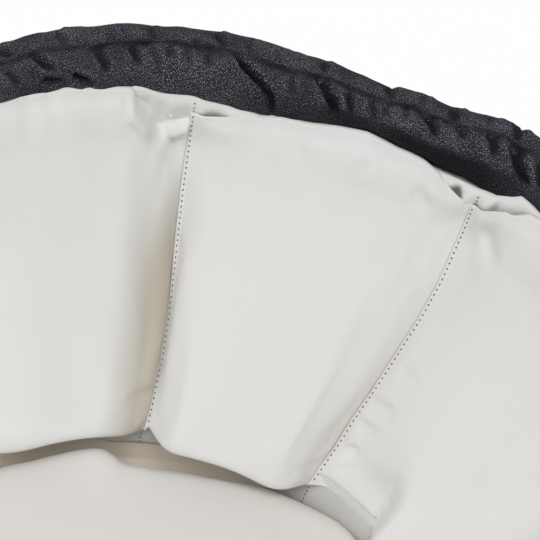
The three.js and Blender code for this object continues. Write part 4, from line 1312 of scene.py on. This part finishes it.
def base():
    radius, straight = BASE_HIGH.x, BASE_HIGH.y - BASE_HIGH.x
    top = BASE_HIGH.z

    def slot_loop(grow, z):
        return oval_loop(SLOT_REACH + grow, z, BASE_STATIONS, SLOT_LENGTH - SLOT_REACH)

    def outer_loop(grow, z):
        return oval_loop(radius + grow, z, BASE_STATIONS, straight)

    loops = [outer_loop(-1.2 * MM, 0), outer_loop(-0.2 * MM, 0.8 * MM), outer_loop(0, top - 1 * MM),
             outer_loop(-1 * MM, top), slot_loop(1.2 * MM, top), slot_loop(0, top - 0.8 * MM),
             slot_loop(0, 0.8 * MM), slot_loop(1.2 * MM, 0), slot_loop(30 * MM, 0), slot_loop(80 * MM, 0)]
    panel = stacked("base_panel_cloth", loops, DENIM, is_ring=True)
    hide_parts("base_panel")
    oval_area(radius, straight) - oval_area(SLOT_REACH, SLOT_LENGTH - SLOT_REACH)
    lines = [closed(loop) for loop in (outer_loop(-6 * MM, 0), outer_loop(-9 * MM, 0), slot_loop(3 * MM, 0))]
    rows = [(line + [0, 0, 0.25 * MM], downwards(len(line))) for line in lines]
    stitches("base_stitches", rows, 3.2 * MM, 0.3 * MM, DARK_THREAD, fill=0.6)
    low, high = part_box("base_foam")
    hollow = TAPE_HIGH.x + 1 * MM - SLOT_REACH
    loops = [slot_loop(hollow, low.z + 3.1 * MM), slot_loop(hollow, low.z), outer_loop(-5.2 * MM, low.z),
             outer_loop(-4 * MM, low.z + 1.2 * MM), outer_loop(-4 * MM, high.z - 1.5 * MM),
             outer_loop(-5.5 * MM, high.z)]
    pad_out(stacked("base_board", loops, FOAM), "base_foam")


# Zip: a woven tape on each side with its row of coil teeth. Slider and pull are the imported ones.
COIL_INNER = 1.0 * MM
COIL_OUTER = 2.8 * MM
COIL_PITCH = 1.5 * MM
TAPE_THICK = (0.5, 0.8, 0.8, 0.8, 0.8, 0.5)


def zip_sides():
    x = np.array([COIL_INNER, COIL_INNER + 0.5 * MM, 2 * MM, 6 * MM, TAPE_HIGH.x - 0.5 * MM, TAPE_HIGH.x])
    half = np.array(TAPE_THICK) * 0.5 * MM
    y = np.linspace(-TAPE_HIGH.y, TAPE_HIGH.y, 180)[:, None]
    bow = 0.04 * MM * np.sin(y / (1.7 * MM))
    middle = TAPE_HIGH.z - 0.4 * MM
    for name, side in SIDES:
        top = together(side * x, y, middle + half + bow)
        low = together(side * x[::-1], y, middle - half[::-1] - bow)
        rings = np.concatenate([top, low], 1)
        faces = tube_faces(*rings.shape[:2])
        tape = new_piece(f"zip_ribbon_{name}", rings, faces, ZIP_TAPE, rings[..., :2])
        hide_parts(f"zip_tape_{name}")
        teeth = []
        for i in range(int(2 * SLOT_LENGTH / COIL_PITCH)):
            along = -SLOT_LENGTH + (i + 0.5 + 0.25 * side) * COIL_PITCH
            ends = np.array([[side * (COIL_INNER + 0.1 * MM), along, TAPE_LOW.z + 0.8 * MM],
                             [side * COIL_OUTER, along + 0.3 * MM, TAPE_LOW.z + 0.8 * MM]])
            teeth.append((ends, downwards(2)))
        stitches(f"zip_coil_{name}", teeth, 1.8 * MM, 0.5 * MM, ZIP_COIL, fill=1.0)


# Carry handles: rolled denim loops with flattened ends, which hang from stitched patches.
HANDLE_SPAN = 150 * MM
HANDLE_DROP = 85 * MM
HANDLE_BEND = 34 * MM
HANDLE_THICK = 13.6 * MM
HANDLE_END = (1.8 * MM, 20 * MM)
HANDLE_FLAT = 10 * MM
HANDLE_TAPER = 22 * MM
HANDLE_SIDES = 28
HANDLE_RADIUS = 7 * MM
PATCH_THICK = 1.6 * MM
PATCH_LIFT = 0.5 * MM
PATCH_SEAMS = ([(3, 3), (3, 21), (15, 21), (15, 3), (3, 3)], [(3, 3), (15, 21)], [(3, 21), (15, 3)])
GRIP_LOW, GRIP_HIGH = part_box("handle_right")
PIVOT_HEIGHT = GRIP_HIGH.z - 1.2 * MM
PIVOT_REACH = (GRIP_LOW.x + GRIP_HIGH.x) / 2


def handle_line():
    """Points of the loop's middle from one end to the other, in (y, z)."""
    side, low = HANDLE_SPAN / 2, PIVOT_HEIGHT - HANDLE_DROP
    half = [(side, z) for z in np.linspace(PIVOT_HEIGHT + 1.2 * MM, low + HANDLE_BEND, 30)]
    for angle in np.linspace(0, math.pi / 2, 14)[1:]:
        half.append((side - HANDLE_BEND * (1 - math.cos(angle)), low + HANDLE_BEND * (1 - math.sin(angle))))
    half += [(y, low) for y in np.linspace(side - HANDLE_BEND, 0, 14)[1:]]
    return np.array(half + [(-y, z) for y, z in half[-2::-1]])


def handle(name, side):
    line = handle_line()
    run = run_along(line)[:, None]
    tangent = unit(np.gradient(line, axis=0))
    normal = np.stack([tangent[:, 1], -tangent[:, 0]], -1)
    roundness = smooth((np.minimum(run, run[-1] - run) - HANDLE_FLAT) / HANDLE_TAPER)
    angle = 2 * np.pi * np.arange(HANDLE_SIDES)[None, :] / HANDLE_SIDES
    wobble = 0.35 * MM * lumps(run, angle * HANDLE_RADIUS, 9 * MM, 50 + side) * roundness
    twist = 0.35 * MM * np.sin(2 * (angle + run / (22 * MM))) * roundness
    wrap = -0.5 * MM * np.exp(-((angle - np.pi) / 0.12) ** 2) * roundness
    thick, wide = (end + (HANDLE_THICK - end) * roundness for end in HANDLE_END)
    grow = wobble + twist + wrap
    across = (wide / 2 + grow) * np.sin(angle)
    points = np.stack([
        side * (PIVOT_REACH + (thick / 2 + grow) * np.cos(angle)),
        line[:, :1] + across * normal[:, :1],
        line[:, 1:] + across * normal[:, 1:],
    ], -1)
    cloth = together(run, angle * HANDLE_RADIUS)
    grip = new_piece(f"handle_grip_{name}", points, tube_faces(*points.shape[:2]), DENIM, cloth,
                     f"handle_{name}")
    pad_out(grip, f"handle_{name}")
    middle = np.column_stack([np.full(len(line), side * PIVOT_REACH), line])[4:-4]
    rows = []
    for turn in (0.12, 0.88):
        seam = points[4:-4, round(turn * HANDLE_SIDES)]
        rows.append((seam, unit(seam - middle)))
    stitches(f"handle_stitches_{name}", rows, 3.0 * MM, 0.28 * MM, DARK_THREAD, body=f"handle_{name}", fill=0.6)


def grid_path(corners):
    """Grid spots along straight lines from corner to corner, none twice in a row."""
    spots = []
    for (r0, c0), (r1, c1) in zip(corners, corners[1:]):
        for k in np.linspace(0, 1, 13):
            spot = (round(r0 + (r1 - r0) * k), round(c0 + (c1 - c0) * k))
            if spots[-1:] != [spot]:
                spots.append(spot)
    return tuple(np.array(spots).T)


def patches():
    across, up = np.linspace(-1, 1, 25)[None, :], np.linspace(-1, 1, 19)[:, None]
    edge = (1 - np.abs(across) ** 8) * (1 - np.abs(up) ** 8)
    quilt = 0.5 * MM * edge * (1 - 0.6 * np.exp(-((np.abs(across) - np.abs(up)) / 0.12) ** 2))
    rows = []
    for name, side in SIDES:
        for end in ("head", "foot"):
            low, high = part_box(f"handle_patch_{name}_{end}")
            tall = high.z - low.z - PATCH_LIFT
            z = high.z - tall / 2 + up * tall / 2
            y = (low.y + high.y) / 2 + across * (high.y - low.y) / 2 * side
            place = PANELS / 2 - side * (PANELS / 4 + y / shell_reach(z)[1])
            under = shell_front(place, (z - SHELL_BOTTOM) / SHELL_HEIGHT)[0][..., 0]
            x = under + side * (PATCH_THICK - 0.4 * MM + quilt)
            front = together(x, y, z)
            piece = thick_sheet(f"patch_{name}_{end}", front, PATCH_THICK, DENIM, front[..., 1:])
            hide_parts(f"handle_patch_{name}_{end}")
            ways = -grid_normals(front)
            rows += [(front[path], ways[path]) for path in map(grid_path, PATCH_SEAMS)]
    stitches("patch_stitches", rows, 2.6 * MM, 0.3 * MM, DARK_THREAD, fill=0.6)


wall_pads()
facing()
rim()
floor_and_gusset()
mattress()
outer_shell()
base()
zip_sides()
for hand in SIDES:
    handle(*hand)
patches()
for node in ("zip_slider", "zip_pull"):
    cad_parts[node].data.materials.clear()
    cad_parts[node].data.materials.append(NICKEL)


# Studio: pale floor, white surround and soft light.
WORLD_LIGHT = 0.34
FLOOR_WHITENESS = 0.985
FLOOR_HALF = 4.0
FLOOR_DROP = 0.2 * MM


def studio():
    bpy.context.scene.view_settings.view_transform = "Standard"
    bpy.context.scene.world = bpy.data.worlds.new("studio")
    s = Shader(bpy.context.scene.world)
    s.tree.nodes.clear()
    light = s.add("ShaderNodeBackground", {}, WHITE, WORLD_LIGHT)
    surround = s.add("ShaderNodeBackground", {}, WHITE, 1.0)
    s.add("ShaderNodeOutputWorld", {}, s.add("ShaderNodeMixShader", {}, s.white_seen(), light, surround))


def floor_white():
    """White paper that keeps a faint shadow of the object, and is white to the camera."""
    s = Shader(bpy.data.materials.new("floor_white"))
    s.finish(Base_Color=rgb(250, 250, 250), Roughness=0.9)
    glow = s.add("ShaderNodeEmission", {}, WHITE, 1.0)
    paper = Signal(s, s.surface.outputs[0])
    mixed = s.add("ShaderNodeMixShader", {}, s.white_seen() * FLOOR_WHITENESS, paper, glow)
    s.feed(s.tree.nodes["Material Output"].inputs[0], mixed)
    return s.owner


def floor():
    mesh = bpy.data.meshes.new("floor")
    corners = [(x * FLOOR_HALF, y * FLOOR_HALF, -FLOOR_DROP) for x, y in ((-1, -1), (1, -1), (1, 1), (-1, 1))]
    mesh.from_pydata(corners, [], [(0, 1, 2, 3)])
    mesh.materials.append(floor_white())
    new_object("floor", mesh)


def lamp(name, place, target, size, power):
    data = bpy.data.lights.new(name, "AREA")
    data.size = size
    data.energy = power
    thing = new_object(name, data)
    thing.location = place
    thing.rotation_euler = (Vector(target) - Vector(place)).to_track_quat("-Z", "Y").to_euler()


studio()
floor()
lamp("key_light", (0.15, -0.1, 1.4), (0, 0.25, 0.1), 0.6, 6.3)
lamp("fill_light", (-0.35, -0.25, 0.8), (-0.1, 0.25, 0.1), 0.5, 2.4)
